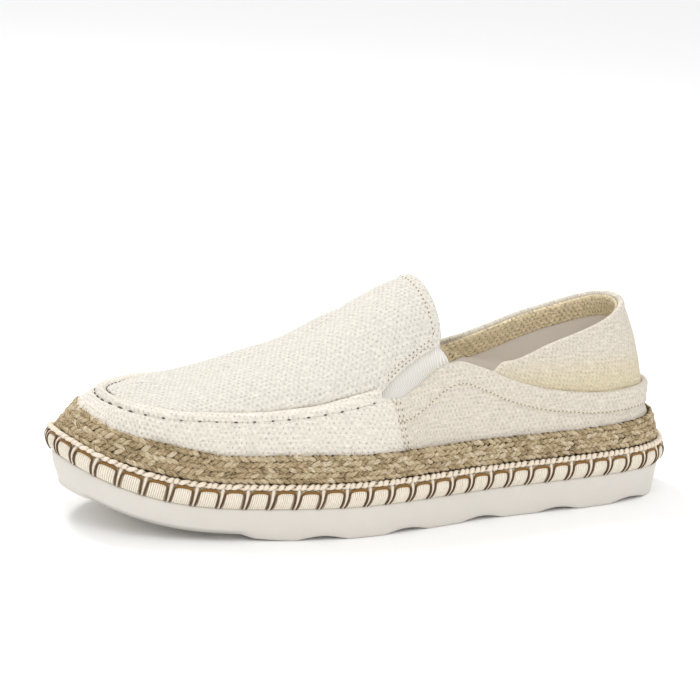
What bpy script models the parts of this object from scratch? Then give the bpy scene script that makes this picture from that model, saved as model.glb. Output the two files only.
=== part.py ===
"""A left slip-on loafer: a hollow canvas upper with a moccasin apron, on a wrapped midsole and a rubber sole.

Sizes are in millimetres until a mesh is made, where they are turned into metres. A station is the distance
from the back of the heel along +X, +Y is the outer side of a left foot, and +Z is up.
"""

import bmesh
import bpy
import numpy as np

MM = 0.001

# Driving dimensions
LENGTH = 296.0
BALL_WIDTH = 105.1
INSTEP_HEIGHT = 104.5
HEEL_HEIGHT = 91.0
WALL = 2.0
LINING = 1.4
PANEL = 1.5
GAP = 0.3

# Heights of the layers above the ground, before toe spring
SOLE_TOP = 14.8
MIDSOLE_TOP = 24.8
BRAID_TOP = 37.0
BRAID_THICKNESS = 3.0
BRAID_TOP_THICKNESS = 1.5
STRAND_RELIEF = 0.9
INSOLE_THICKNESS = 3.0

# Toe spring and heel rise: lift at the tip, and the share of the length where it starts with its power
SPRING = 17.0
UPPER_SPRING = (0.752, 2.49)
SOLE_SPRING = (0.688, 1.64)
HEEL_RISE = 1.2
HEEL_RISE_END = 100.0

# Edge profiles: inset from the plan, height
BRAID_INSET = 1.6
SOLE_SIDE = ((1.3, SOLE_TOP), (2.0, 8.0), (2.7, 3.5))
SOLE_BEVEL = (3.3, 1.2)
SOLE_FOOT = (4.8, 0.0)
MIDSOLE_SIDE = ((0.9, SOLE_TOP + GAP), (0.0, 16.9), (0.0, 22.8), (1.0, MIDSOLE_TOP))

# Waves across the bottom of the sole
WAVE_PITCH = 41.0
WAVE_START = 28.0
WAVE_DEPTH = 1.8
WAVE_LAND = -0.2
BEVEL_WAVE = 0.8

# Moccasin ridge, flap and side seam
RIDGE_HEIGHT = 1.3
RIDGE_FADE = 12.0
WALL_FADE_COLUMNS = 4
APRON_LEAVE = 0.12
APRON_CROWN = 0.48
HEEL_BULGE = 2.5
BIG_TOE_RISE = 3.0
BIG_TOE_START = 195.0
BIG_TOE_FADE = 50.0
SEAM_STATION = 163.0
SEAM_SLANT = 11.0
SEAM_SLANT_REACH = 22.0
SEAM_SLANT_SHARES = (1.0, 0.6, 0.2, 0.0)
SEAM_STEP = 0.4
NOTCH_STATION = 109.5
FLAP_STATION = 129.0
FLAP_BOW = 4.2
FLAP_BOW_SHARE = 0.4

# Plan of the midsole: shares of the length and of the ball width, in order round the shoe
PLAN = (
    # along, across
    (0.000, 0.000),
    (0.0355, 0.246),
    (0.128, 0.358),
    (0.355, 0.423),
    (0.605, 0.531),
    (0.794, 0.425),
    (0.912, 0.299),
    (0.973, 0.172),
    (1.000, -0.057),
    (0.973, -0.249),
    (0.899, -0.381),
    (0.703, -0.469),
    (0.439, -0.330),
    (0.128, -0.352),
    (0.0355, -0.240),
)

# How far each line of the side wall lies inside the plan, and how high it runs, by station
SIDES = np.array(
    [
        # station, braid top inset, band inset, band height, edge inset, edge height
        (0, 6.2, 9.3, 42.0, 9.3, 52.8),
        (15, 6.2, 9.3, 42.0, 9.3, 52.4),
        (40, 6.0, 9.4, 42.5, 9.5, 51.6),
        (70, 5.8, 9.2, 45.0, 9.3, 54.8),
        (93, 5.7, 9.2, 50.0, 9.8, 60.9),
        (109.5, 5.6, 9.6, 57.0, 12.0, 68.2),
        (120, 5.6, 10.0, 60.5, 14.5, 71.2),
        (129, 5.6, 10.2, 61.0, 15.0, 69.8),
        (143, 5.6, 9.8, 59.0, 14.0, 65.0),
        (163, 5.6, 9.5, 56.8, 12.0, 59.6),
        (183, 5.6, 9.0, 54.6, 14.6, 57.2),
        (211, 5.6, 8.5, 52.2, 14.6, 54.2),
        (232, 5.7, 8.0, 51.3, 14.2, 53.4),
        (250, 6.3, 9.0, 51.6, 15.2, 54.0),
        (270, 8.0, 13.0, 52.7, 19.0, 55.6),
        (285, 11.0, 17.5, 54.2, 22.6, 57.0),
        (296, 13.6, 20.5, 54.8, 25.0, 57.6),
    ],
    dtype=float,
)

# Ridge of the apron, from the flap's edge to the toe: share of the way round, station, side shift, height as
# a share of the instep's, and how steeply the apron leaves the edge line there
CROWN = np.array(
    [
        (0.00, 131.5, 0.0, 1.000, 0.50),
        (0.10, 143.0, -0.5, 0.956, 0.47),
        (0.19, 155.0, -1.0, 0.885, 0.43),
        (0.29, 163.0, -1.5, 0.838, 0.38),
        (0.40, 181.0, -2.0, 0.737, 0.31),
        (0.52, 201.0, -3.0, 0.662, 0.26),
        (0.62, 219.0, -4.0, 0.600, 0.19),
        (0.72, 234.0, -4.0, 0.556, 0.17),
        (0.84, 246.0, -4.0, 0.561, 0.30),
        (1.00, 256.0, -4.0, 0.567, 0.40),
    ]
)

# Rim of the soft heel, above the quarter's edge: station, inset, height on the outer and on the inner side as
# shares of the heel's, forward lean
RIM = np.array(
    [
        (0, 14.0, 1.000, 1.000, 9.5),
        (20, 15.0, 0.936, 0.960, 10.5),
        (40, 15.5, 0.883, 0.917, 9.5),
        (64, 15.5, 0.831, 0.864, 5.5),
        (88, 14.5, 0.771, 0.805, 2.0),
        (109.5, 12.0, 0.750, 0.750, 0.0),
    ],
    dtype=float,
)

# The flap's lower edge over the elastic gore: station, and its two sides as shares of the way to the crown
FLAP = np.array(
    [
        (129, 0.24, 0.27),
        (138, 0.16, 0.19),
        (146, 0.13, 0.16),
        (156, 0.09, 0.12),
        (163, 0.04, 0.08),
        (205, 0.125, 0.25),
    ]
)

# Rows of faces up the side wall: to the top of the braid, to the band, to the edge
SIDE_ROWS = (1, 3, 4)
APRON_ROWS = 8
COLLAR_ROWS = 5

# Columns of faces along one side, from the heel to the toe
HEEL_COLUMNS = 10
QUARTER_COLUMNS = 3
GORE_COLUMNS = 4
TOE_COLUMNS = 17
TOE_CROWDING = 1.25
RING_COLUMNS = 136
BRAID_ROWS = 4

# Points of the plan's curve between two knots, and how far to each side its direction is read
PLAN_STEPS = 60
TANGENT_REACH = 1.5


def smooth(at, where, values):
    """A curve through (where, values) that never overshoots: cubic pieces with harmonic-mean slopes."""
    at = np.clip(np.asarray(at, dtype=float), where[0], where[-1])
    values = np.asarray(values, dtype=float)
    tail = (1,) * (values.ndim - 1)
    gap = np.diff(where).reshape(-1, *tail)
    rise = np.diff(values, axis=0) / gap
    before, after = rise[:-1], rise[1:]
    same = before * after > 0
    inner = np.where(same, 2 * before * after / np.where(same, before + after, 1.0), 0.0)
    slope = np.concatenate([rise[:1], inner, rise[-1:]])
    piece = np.clip(np.searchsorted(where, at, side="right") - 1, 0, len(gap) - 1)
    span = gap[piece]
    t = (at - np.asarray(where)[piece]).reshape(*at.shape, *tail) / span
    start = values[piece] * (1 + 2 * t) * (1 - t) ** 2 + slope[piece] * span * t * (1 - t) ** 2
    end = values[piece + 1] * t**2 * (3 - 2 * t) + slope[piece + 1] * span * t**2 * (t - 1)
    return start + end


def closed_spline(knots, each):
    """The closed curve of least bending through the knots, with the same number of points between each pair."""
    count = len(knots)
    after = np.roll(knots, -1, axis=0)
    step = np.linalg.norm(after - knots, axis=1)
    slope = (after - knots) / step[:, None]
    system = np.zeros((count, count))
    right = np.zeros_like(knots)
    for i in range(count):
        system[i, i - 1] = 1 / step[i - 1]
        system[i, i] = 2 / step[i - 1] + 2 / step[i]
        system[i, (i + 1) % count] = 1 / step[i]
        right[i] = 3 * (slope[i - 1] / step[i - 1] + slope[i] / step[i])
    tangent = np.linalg.solve(system, right)
    t = np.linspace(0, 1, each, endpoint=False)[:, None]
    pieces = [
        knots[i] * (1 + 2 * t) * (1 - t) ** 2
        + tangent[i] * step[i] * t * (1 - t) ** 2
        + after[i] * t**2 * (3 - 2 * t)
        + tangent[(i + 1) % count] * step[i] * t**2 * (t - 1)
        for i in range(count)
    ]
    return np.concatenate(pieces)


class Plan:
    """The midsole's outline from above, read by the distance walked from the heel along the outer side."""

    def __init__(self):
        self.points = closed_spline(np.array(PLAN) * (LENGTH, BALL_WIDTH), PLAN_STEPS)
        ring = np.vstack([self.points, self.points[:1]])
        self.walk = np.concatenate([[0], np.cumsum(np.linalg.norm(np.diff(ring, axis=0), axis=1))])
        self.ring = ring
        self.girth = self.walk[-1]
        self.toe = self.walk[np.argmax(ring[:, 0])]
        self.centre = 0.5 * (ring[:, 1].min() + ring[:, 1].max())

    def at(self, walk):
        walk = np.mod(walk, self.girth)
        return np.stack([np.interp(walk, self.walk, self.ring[:, k]) for k in range(2)], axis=-1)

    def outward(self, walk):
        tangent = self.at(walk + TANGENT_REACH) - self.at(walk - TANGENT_REACH)
        normal = np.stack([-tangent[..., 1], tangent[..., 0]], axis=-1)
        return normal / np.linalg.norm(normal, axis=-1, keepdims=True)

    def inside(self, walk, inset):
        return self.at(walk) - self.outward(walk) * np.asarray(inset)[..., None]

    def outer_walk(self, station):
        """The walk to this station on the outer side."""
        half = self.walk <= self.toe
        return np.interp(station, self.ring[half, 0], self.walk[half])

    def inner_walk(self, station):
        """The walk to this station on the inner side."""
        half = self.walk >= self.toe
        return np.interp(station, self.ring[half, 0][::-1], self.walk[half][::-1])


plan = Plan()


def spring(station, shape):
    """How far the toe lifts at this station."""
    start, power = shape
    share = np.clip((station / LENGTH - start) / (1 - start), 0, None)
    return SPRING * share**power


def rocker(station):
    """Height of the bottom of the sole: flat, then a long rise to the toe."""
    return spring(station, SOLE_SPRING)


def lift(station):
    """Height added to the layers above the sole: toe spring, and a slight rise towards the heel."""
    return spring(station, UPPER_SPRING) + HEEL_RISE * np.clip(1 - station / HEEL_RISE_END, 0, 1)


def outer_columns():
    """Walks of the columns of the outer side, from the back of the heel to the tip of the toe."""
    notch, flap, seam = plan.outer_walk(np.array([NOTCH_STATION, FLAP_STATION, SEAM_STATION]))
    crowded = 1 - (1 - np.linspace(0, 1, TOE_COLUMNS + 1)) ** TOE_CROWDING
    spans = [
        np.linspace(0, notch, HEEL_COLUMNS + 1)[:-1],
        np.linspace(notch, flap, QUARTER_COLUMNS + 1)[:-1],
        np.linspace(flap, seam - 2 * SEAM_STEP, GORE_COLUMNS + 1),
        [seam - SEAM_STEP],
        seam + (plan.toe - seam) * crowded,
    ]
    return np.concatenate(spans)


def all_columns():
    """Walks of every column: the outer side, then the inner side's columns at the same stations."""
    outer = outer_columns()
    return np.concatenate([outer, plan.inner_walk(plan.at(outer[1:-1])[:, 0])[::-1]])


NOTCH = HEEL_COLUMNS
MOUTH = NOTCH + QUARTER_COLUMNS
QUARTER_FRONT = MOUTH + GORE_COLUMNS
SEAM = QUARTER_FRONT + 2
TOE = SEAM + TOE_COLUMNS
COLUMNS = 2 * TOE
EDGE_ROW = sum(SIDE_ROWS)


def big_toe(points):
    """Extra height over the big toe, fading towards the instep and the middle of the shoe."""
    forward = np.clip((points[..., 0] - BIG_TOE_START) / BIG_TOE_FADE, 0, 1)
    inward = np.clip(-points[..., 1] / (0.5 * BALL_WIDTH), 0, 1)
    return BIG_TOE_RISE * forward**2 * (3 - 2 * forward) * inward


def side_lines(walk):
    """The foot, braid top, band and edge lines of the outer skin at these walks, as (4, walks, 3)."""
    station = plan.at(walk)[..., 0]
    foot = BRAID_INSET + STRAND_RELIEF + BRAID_THICKNESS + GAP
    under = smooth(station, SIDES[:, 0], SIDES[:, 1]) + BRAID_TOP_THICKNESS + GAP
    insets = [foot + 0 * station, under]
    insets += [smooth(station, SIDES[:, 0], SIDES[:, k]) for k in (2, 4)]
    lines = np.stack([plan.inside(walk, inset) for inset in insets])
    heights = np.stack(
        [
            MIDSOLE_TOP + GAP + lift(lines[0, ..., 0]),
            BRAID_TOP + lift(lines[1, ..., 0]),
            smooth(station, SIDES[:, 0], SIDES[:, 3]),
            smooth(station, SIDES[:, 0], SIDES[:, 5]),
        ]
    )
    heights[2:] += big_toe(lines[2:])
    return np.concatenate([lines, heights[..., None]], axis=-1)


def side_wall():
    """The outer skin from the foot to the edge line, as (rows, columns, 3)."""
    walk = all_columns()
    station = plan.at(walk)[:, 0]
    side = np.where(np.arange(COLUMNS) <= TOE, 1, -1)
    slant = SEAM_SLANT * np.exp(-(((station - SEAM_STATION) / SEAM_SLANT_REACH) ** 2)) * side
    shifted = [walk - share * slant for share in SEAM_SLANT_SHARES]
    lines = np.stack([side_lines(shifted[k])[k] for k in range(len(shifted))])
    rows = [np.linspace(k, k + 1, n + 1)[1:] for k, n in enumerate(SIDE_ROWS)]
    return smooth(np.concatenate([[0], *rows]), np.arange(4), lines)


def apron(edge):
    """The skin from the edge line up to the crown over the front of the foot, as (rows, columns, 3)."""
    column = np.arange(MOUTH, COLUMNS - MOUTH + 1)
    edge = edge[column]
    share = 1 - np.abs(column - TOE) / (TOE - MOUTH)
    crown = np.stack([smooth(share, CROWN[:, 0], CROWN[:, k]) for k in (1, 2, 3)], axis=-1)
    crown[:, 2] = INSTEP_HEIGHT * crown[:, 2] + big_toe(crown)
    station = plan.at(all_columns()[column])[:, 0]
    low = smooth(station, FLAP[:, 0], FLAP[:, 1])
    high = smooth(station, FLAP[:, 0], FLAP[:, 2])
    rest = np.linspace(0, 1, APRON_ROWS - 1)[1:, None]
    t = np.concatenate([[low], [high], high + (1 - high) * rest])[..., None]
    rise = (crown - edge) * (0, 0, 1)
    reach = (crown - edge) * (1, 1, 0)
    climb = smooth(share, CROWN[:, 0], CROWN[:, 4])[:, None]
    first = edge + APRON_LEAVE * reach + climb * rise
    second = crown - APRON_CROWN * reach
    skin = (1 - t) ** 3 * edge + 3 * t * (1 - t) ** 2 * first + 3 * t**2 * (1 - t) * second + t**3 * crown
    bow = FLAP_BOW * np.clip(1 - share / FLAP_BOW_SHARE, 0, 1)[:, None] ** 2 * (1, 0, 0)
    return skin - bow * (1 - (1 - t) ** 3)


def collar(edge):
    """The skin from the edge line up to the rim of the soft heel, as (rows, columns, 3)."""
    column = np.arange(-NOTCH, NOTCH + 1)
    edge = edge[column]
    walk = all_columns()[column]
    station = plan.at(walk)[:, 0]
    inset, outer, inner, lean = (smooth(station, RIM[:, 0], RIM[:, k]) for k in (1, 2, 3, 4))
    height = np.where(column >= 0, outer, inner)
    line = plan.inside(walk, inset) + lean[:, None] * (1, 0)
    rim = np.concatenate([line, HEEL_HEIGHT * height[:, None]], axis=-1)
    t = np.linspace(0, 1, COLLAR_ROWS + 1)[1:, None, None]
    behind = plan.outward(walk) * (lean / RIM[0, 4])[:, None] * HEEL_BULGE
    return edge + (rim - edge) * t + np.pad(behind, ((0, 0), (0, 1))) * 4 * t * (1 - t)


def grid_faces(ids, outer, closed=False):
    """Faces of a grid of vertex numbers, leaving out the repeated corners of those that come to a point.

    The corners are counted from the other end on the inner side, so that both sides are split into
    triangles the same way. `outer` is the range of columns of the outer side.
    """
    ids = np.asarray(ids)
    if closed:
        ids = np.concatenate([ids, ids[:, :1]], axis=1)
    corners = np.stack([ids[:-1, :-1], ids[:-1, 1:], ids[1:, 1:], ids[1:, :-1]], axis=-1)
    column = np.arange(corners.shape[1])
    inner = (column < outer[0]) | (column >= outer[1])
    corners[:, inner] = np.roll(corners[:, inner], 1, axis=-1)
    return [list(dict.fromkeys(face.tolist())) for face in corners.reshape(-1, 4)]


def cap_faces(ring):
    """Strips of faces from each vertex of the outer side to its partner on the inner side."""
    half = len(ring) // 2
    partner = [ring[-i % len(ring)] for i in range(half + 1)]
    strips = [(ring[i], ring[i + 1], partner[i + 1], partner[i]) for i in range(half)]
    return [list(dict.fromkeys(strip)) for strip in strips]


def upper_surface():
    """The outer skin of the whole upper: its points, its faces, and the vertex numbers of its three blocks."""
    wall = side_wall()
    edge = wall[-1]
    front, back = apron(edge), collar(edge)
    ring = np.arange(wall.shape[0] * COLUMNS).reshape(wall.shape[:2])
    points = [wall.reshape(-1, 3), front.reshape(-1, 3), back.reshape(-1, 3)]
    start = ring.size
    top = start + np.arange(front.shape[0] * front.shape[1]).reshape(front.shape[:2])
    start += top.size
    heel = start + np.arange(back.shape[0] * back.shape[1]).reshape(back.shape[:2])
    middle = TOE - MOUTH
    top[-1, middle + 1 :] = top[-1, :middle][::-1]
    heel[:, 0] = ring[-1, -NOTCH]
    heel[:, -1] = ring[-1, NOTCH]
    top = np.vstack([ring[-1:, MOUTH : COLUMNS - MOUTH + 1], top])
    heel = np.vstack([ring[-1:, np.arange(-NOTCH, NOTCH + 1)], heel])
    faces = grid_faces(ring, (0, TOE), closed=True)
    faces += grid_faces(top, (0, middle)) + grid_faces(heel, (NOTCH, 2 * NOTCH))
    return np.concatenate(points), faces, ring, top, heel


def vertex_normals(points, faces):
    """The mean direction of the faces round each point, weighted by their area."""
    normals = np.zeros_like(points)
    for face in faces:
        corner = points[face]
        normals[face] += np.cross(corner[-1] - corner[1], corner[2] - corner[0])
    length = np.linalg.norm(normals, axis=1, keepdims=True)
    return normals / np.where(length > 0, length, 1)


def level_foot(points, ring):
    """Slides the foot row along the wall until it is back at the height of the midsole."""
    foot, above = points[ring[0]], points[ring[1]]
    height = MIDSOLE_TOP + GAP + lift(foot[:, 0])
    share = (height - foot[:, 2]) / (above[:, 2] - foot[:, 2])
    points[ring[0]] = foot + (above - foot) * share[:, None]
    return points


class Upper:
    """The outer skin of the upper, and the surfaces that lie at a depth under it."""

    def __init__(self):
        self.points, self.faces, self.ring, self.top, self.heel = upper_surface()
        self.normals = vertex_normals(self.points, self.faces)
        column = np.abs((np.arange(COLUMNS) + TOE) % COLUMNS - TOE)
        self.behind_seam = column < SEAM
        self.depth_share = np.clip((SEAM - column) / WALL_FADE_COLUMNS + 1, 0, 1)

    def under(self, depth):
        return level_foot(self.points - self.normals * depth[:, None], self.ring)

    def spread(self, by_column):
        """A value for every point, from one for each column."""
        values = np.zeros(len(self.points))
        values[self.ring] = by_column
        values[self.top] = by_column[np.arange(MOUTH, COLUMNS - MOUTH + 1)]
        values[self.heel] = by_column[np.arange(-NOTCH, NOTCH + 1)]
        return values

    def outside(self):
        """Flush with the skin at the front, and stepped in where the quarter, gore and soft heel lie."""
        depth = self.spread(np.where(self.behind_seam, PANEL + GAP, 0.0))
        depth[self.top[2:]] = 0
        station = plan.at(all_columns())[:, 0]
        fade = np.clip((station - SEAM_STATION) / RIDGE_FADE, 0, 1)
        rows = EDGE_ROW - SIDE_ROWS[2] + np.arange(SIDE_ROWS[2] + 1)
        swell = np.sin(np.pi * np.arange(SIDE_ROWS[2] + 1) / SIDE_ROWS[2])
        depth[self.ring[rows]] -= RIDGE_HEIGHT * swell[:, None] * fade
        return self.under(depth)

    def inside(self):
        return self.under(WALL + (PANEL + GAP + LINING - WALL) * self.spread(self.depth_share))


upper = Upper()


# Building


def material(name, colour, roughness):
    made = bpy.data.materials.new(name)
    made.use_nodes = True
    shader = made.node_tree.nodes["Principled BSDF"]
    shader.inputs["Base Color"].default_value = (*colour, 1)
    shader.inputs["Roughness"].default_value = roughness
    shader.inputs["Metallic"].default_value = 0.0
    made.diffuse_color = (*colour, 1)
    return made


def add_solid(name, points, faces, finish):
    """A closed mesh object, moved from the heel's frame to the middle of the length and width, in metres."""
    middle = (LENGTH / 2, plan.centre, 0)
    mesh = bpy.data.meshes.new(name)
    mesh.from_pydata(((points - middle) * MM).tolist(), [], faces)
    form = bmesh.new()
    form.from_mesh(mesh)
    loose = [vertex for vertex in form.verts if not vertex.link_faces]
    bmesh.ops.delete(form, geom=loose, context="VERTS")
    bmesh.ops.recalc_face_normals(form, faces=form.faces)
    form.to_mesh(mesh)
    form.free()
    mesh.shade_smooth()
    mesh.set_sharp_from_angle(angle=np.radians(40))
    mesh.materials.append(finish)
    made = bpy.data.objects.new(name, mesh)
    pieces.objects.link(made)


def wall_between(outer, inner, faces):
    """Points and faces of a closed wall: two like surfaces, joined along their open edges."""
    count = len(outer)
    edges = {(a, b) for face in faces for a, b in zip(face, face[1:] + face[:1])}
    rims = [[b, a, a + count, b + count] for a, b in edges if (b, a) not in edges]
    backs = [[corner + count for corner in reversed(face)] for face in faces]
    return np.concatenate([outer, inner]), faces + backs + sorted(rims)


def stacked_solid(rings):
    """Points and faces of a solid built from closed rings, with caps across its two ends."""
    ids = np.arange(rings.shape[0] * rings.shape[1]).reshape(rings.shape[:2])
    caps = cap_faces(ids[0].tolist()) + cap_faces(ids[-1].tolist())
    return rings.reshape(-1, 3), grid_faces(ids, (0, rings.shape[1] // 2), closed=True) + caps


def even_walks():
    """Walks spaced evenly up the outer side, and those at the same stations down the inner side."""
    outer = np.linspace(0, plan.toe, RING_COLUMNS // 2 + 1)
    return np.concatenate([outer, plan.inner_walk(plan.at(outer[1:-1])[:, 0])[::-1]])


def layer(rows, rise):
    """Rings at each (inset, height) row, raised by a function of their own stations."""
    rings = []
    for inset, height in rows:
        ring = plan.inside(even_walks(), inset + np.zeros(RING_COLUMNS))
        rings.append(np.column_stack([ring, height + rise(ring[:, 0])]))
    return np.stack(rings)


def wave(station):
    """Height of the arches between the lands of the sole."""
    turn = np.cos(2 * np.pi * (station - WAVE_START) / WAVE_PITCH)
    return WAVE_DEPTH * np.clip((turn - WAVE_LAND) / (1 - WAVE_LAND), 0, None)


def make_outsole():
    side = layer(SOLE_SIDE, lift)
    bottom = layer([SOLE_FOOT], lambda station: rocker(station) + wave(station))
    bevel = layer([SOLE_BEVEL], lambda station: rocker(station) + BEVEL_WAVE * wave(station))
    points, faces = stacked_solid(np.concatenate([side, bevel, bottom]))
    add_solid("outsole", points, faces, material("sole_rubber", (0.72, 0.70, 0.66), 0.55))


def make_midsole():
    points, faces = stacked_solid(layer(MIDSOLE_SIDE, lift))
    add_solid("midsole", points, faces, material("cotton_wrap", (0.80, 0.70, 0.52), 0.8))


def make_insole():
    """A flat pad inside the wall, drawn from the inner surface at the height of the pad's top."""
    wall = upper.inside()[upper.ring[:2]]
    foot_height = wall[1, :, 2] - wall[0, :, 2]
    share = (INSOLE_THICKNESS + 2 * GAP) / foot_height
    line = wall[0] + (wall[1] - wall[0]) * share[:, None]
    edge = line[:, :2] - plan.outward(all_columns()) * 2 * GAP
    low = MIDSOLE_TOP + GAP + lift(edge[:, 0])
    rings = [np.column_stack([edge, low + step]) for step in (0, INSOLE_THICKNESS)]
    points, faces = stacked_solid(np.stack(rings))
    add_solid("insole", points, faces, material("insole_cloth", (0.62, 0.55, 0.44), 0.9))


def make_braid():
    """One wall whose outer face has crossing strands, leaning against the foot of the upper."""
    walk = even_walks()
    skin = side_lines(walk)[:2]
    outward = plan.outward(walk)
    slope = skin[1] - skin[0]
    across = np.sum(slope[:, :2] * outward, axis=1)
    face = np.column_stack([outward * slope[:, 2:], -across])
    face /= np.linalg.norm(face, axis=1, keepdims=True)
    t = np.linspace(0, 1, BRAID_ROWS + 1)[:, None, None]
    rows = skin[0] + (skin[1] - skin[0]) * t
    strand = (np.arange(RING_COLUMNS) + (np.arange(BRAID_ROWS + 1) % 2)[:, None]) % 2
    taper = BRAID_THICKNESS + (BRAID_TOP_THICKNESS - BRAID_THICKNESS) * t**2
    front = rows + face * (GAP + taper + STRAND_RELIEF * strand[..., None])
    back = (skin + face * GAP)[::-1]
    ids = np.arange((BRAID_ROWS + 3) * RING_COLUMNS).reshape(-1, RING_COLUMNS)
    ids = np.vstack([ids, ids[:1]])
    points = np.concatenate([front, back])
    base = MIDSOLE_TOP + GAP
    for ring in (points[0], points[-1]):
        ring[:, 2] = base + lift(ring[:, 0])
    faces = grid_faces(ids, (0, RING_COLUMNS // 2), closed=True)
    add_solid("jute_braid", points.reshape(-1, 3), faces, material("jute", (0.42, 0.31, 0.18), 0.9))


def make_upper():
    points, faces = wall_between(upper.outside(), upper.inside(), upper.faces)
    add_solid("upper", points, faces, material("canvas", (0.80, 0.76, 0.66), 0.9))


def make_quarter():
    """The panel round the heel, from side seam to side seam, over the thinner wall of the upper."""
    column = np.arange(-QUARTER_FRONT, QUARTER_FRONT + 1)
    faces = grid_faces(upper.ring[:, column], (QUARTER_FRONT, 2 * QUARTER_FRONT))
    front = upper.under(np.zeros(len(upper.points)))
    back = upper.under(np.full(len(upper.points), PANEL))
    points, faces = wall_between(front, back, faces)
    add_solid("quarter", points, faces, material("quarter_canvas", (0.78, 0.73, 0.63), 0.9))


for old in list(bpy.data.objects):
    bpy.data.objects.remove(old)
pieces = bpy.data.collections.new("loafer")
bpy.context.scene.collection.children.link(pieces)

make_outsole()
make_midsole()
make_insole()
make_braid()
make_upper()
make_quarter()
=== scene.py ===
# %% [markdown]
# # A slip-on loafer in numpy and Blender
#
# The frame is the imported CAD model: plain solids with the right shape and size. This lesson dresses them,
# piece by piece, with the cloth, jute, yarn and rubber of the real shoe. Every shape is worked out as whole
# arrays of points.

import bpy
import numpy as np
from mathutils import Matrix


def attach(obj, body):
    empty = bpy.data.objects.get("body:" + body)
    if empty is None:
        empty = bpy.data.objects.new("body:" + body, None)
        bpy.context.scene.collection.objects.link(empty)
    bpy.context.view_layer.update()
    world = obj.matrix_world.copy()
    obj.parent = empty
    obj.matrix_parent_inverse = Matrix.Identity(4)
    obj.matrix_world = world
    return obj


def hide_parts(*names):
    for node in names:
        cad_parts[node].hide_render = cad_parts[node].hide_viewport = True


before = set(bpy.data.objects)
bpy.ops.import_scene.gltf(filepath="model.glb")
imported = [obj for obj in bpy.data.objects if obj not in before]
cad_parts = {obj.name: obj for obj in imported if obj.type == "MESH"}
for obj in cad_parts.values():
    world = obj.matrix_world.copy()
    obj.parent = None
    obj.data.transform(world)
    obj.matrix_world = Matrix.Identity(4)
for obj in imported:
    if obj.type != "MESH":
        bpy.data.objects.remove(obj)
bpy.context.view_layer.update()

# %% [markdown]
# ## The last that everything is built round
#
# A shoe is sewn over a last, a wooden foot. Ours is a handful of tables: the outline of the sole from
# above, and how high each line of the upper runs at each station, the distance from the back of the heel.
# They are nearly the numbers of the CAD part, because then cloth and solid share one skin: only the
# sampling here is finer, and a few lines are drawn closer to the real shoe than a plain solid needs.

# %% Tables of the last
MM = 0.001
LENGTH, BALL_WIDTH, INSTEP_HEIGHT, HEEL_HEIGHT = 296.0, 105.1, 104.5, 91.0
SOLE_TOP, MIDSOLE_TOP, BRAID_TOP = 14.8, 24.8, 37.0
NOTCH_STATION, FLAP_STATION, SEAM_STATION = 109.5, 129.0, 163.0
TOE_SPRING = 17.0
PLAN = (
    # share of the length, share of the ball width
    (0.000, 0.000),
    (0.0355, 0.246),
    (0.128, 0.358),
    (0.355, 0.423),
    (0.605, 0.531),
    (0.794, 0.425),
    (0.912, 0.299),
    (0.973, 0.172),
    (1.000, -0.057),
    (0.973, -0.249),
    (0.899, -0.381),
    (0.703, -0.469),
    (0.439, -0.330),
    (0.128, -0.352),
    (0.0355, -0.240),
)
SIDES = np.array(
    [
        # station, braid top inset, band inset, band height, edge inset, edge height
        (0, 6.2, 9.3, 42.0, 9.3, 52.8),
        (15, 6.2, 9.3, 42.0, 9.3, 52.4),
        (40, 6.0, 9.4, 42.5, 9.5, 51.6),
        (70, 5.8, 9.2, 45.0, 9.3, 54.8),
        (93, 5.7, 9.2, 50.0, 9.8, 60.9),
        (109.5, 5.6, 9.6, 57.0, 12.0, 68.2),
        (120, 5.6, 10.0, 60.5, 14.5, 71.2),
        (129, 5.6, 10.2, 61.0, 15.0, 69.8),
        (143, 5.6, 9.8, 59.0, 14.0, 65.0),
        (163, 5.6, 9.5, 58.5, 12.0, 59.6),
        (183, 5.6, 9.0, 55.5, 14.6, 57.2),
        (211, 5.6, 8.5, 52.2, 14.6, 54.2),
        (232, 5.7, 8.2, 51.0, 14.3, 53.4),
        (250, 6.3, 8.2, 51.1, 14.6, 53.4),
        (270, 7.5, 12.1, 52.1, 19.4, 54.4),
        (285, 9.2, 17.7, 53.5, 23.5, 55.3),
        (296, 11.0, 20.2, 54.0, 25.0, 55.9),
    ]
)
BRAID_EDGE = np.array(
    [
        # station, how far the braid's top edge strays from its mean height
        (0, 0.0),
        (30, -1.0),
        (75, -1.6),
        (110, -1.0),
        (160, -1.2),
        (200, -0.2),
        (230, -0.8),
        (262, 1.2),
        (280, 0.4),
        (296, 1.6),
    ]
)
CROWN = np.array(
    [
        # share of the way round, station, side shift, height share, climb at the edge
        (0.00, 131.5, 0.0, 1.000, 0.50),
        (0.10, 143.0, -0.5, 0.956, 0.47),
        (0.19, 155.0, -1.0, 0.885, 0.43),
        (0.29, 163.0, -1.5, 0.838, 0.38),
        (0.40, 181.0, -2.0, 0.737, 0.31),
        (0.52, 201.0, -3.0, 0.662, 0.26),
        (0.62, 219.0, -4.0, 0.600, 0.19),
        (0.72, 234.0, -4.0, 0.556, 0.17),
        (0.84, 246.0, -4.0, 0.561, 0.30),
        (1.00, 256.0, -4.0, 0.567, 0.40),
    ]
)
RIM = np.array(
    [
        # station, inset, outer height share, inner height share, forward lean
        (0, 14.0, 1.004, 1.012, 8.8),
        (20, 15.0, 0.940, 0.968, 9.9),
        (40, 15.5, 0.883, 0.917, 9.5),
        (64, 15.5, 0.831, 0.864, 5.5),
        (88, 14.5, 0.766, 0.800, 2.0),
        (109.5, 12.0, 0.750, 0.750, 0.0),
    ]
)

# %% [markdown]
# ### Smooth tables
#
# A plain spline bulges between table rows that lie far apart. The cubic below takes the harmonic mean of
# the slopes on either side of a row, so it never overshoots. Three plainer shapes, a ramp, an eased step and
# a bell, form most of what follows.


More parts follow.
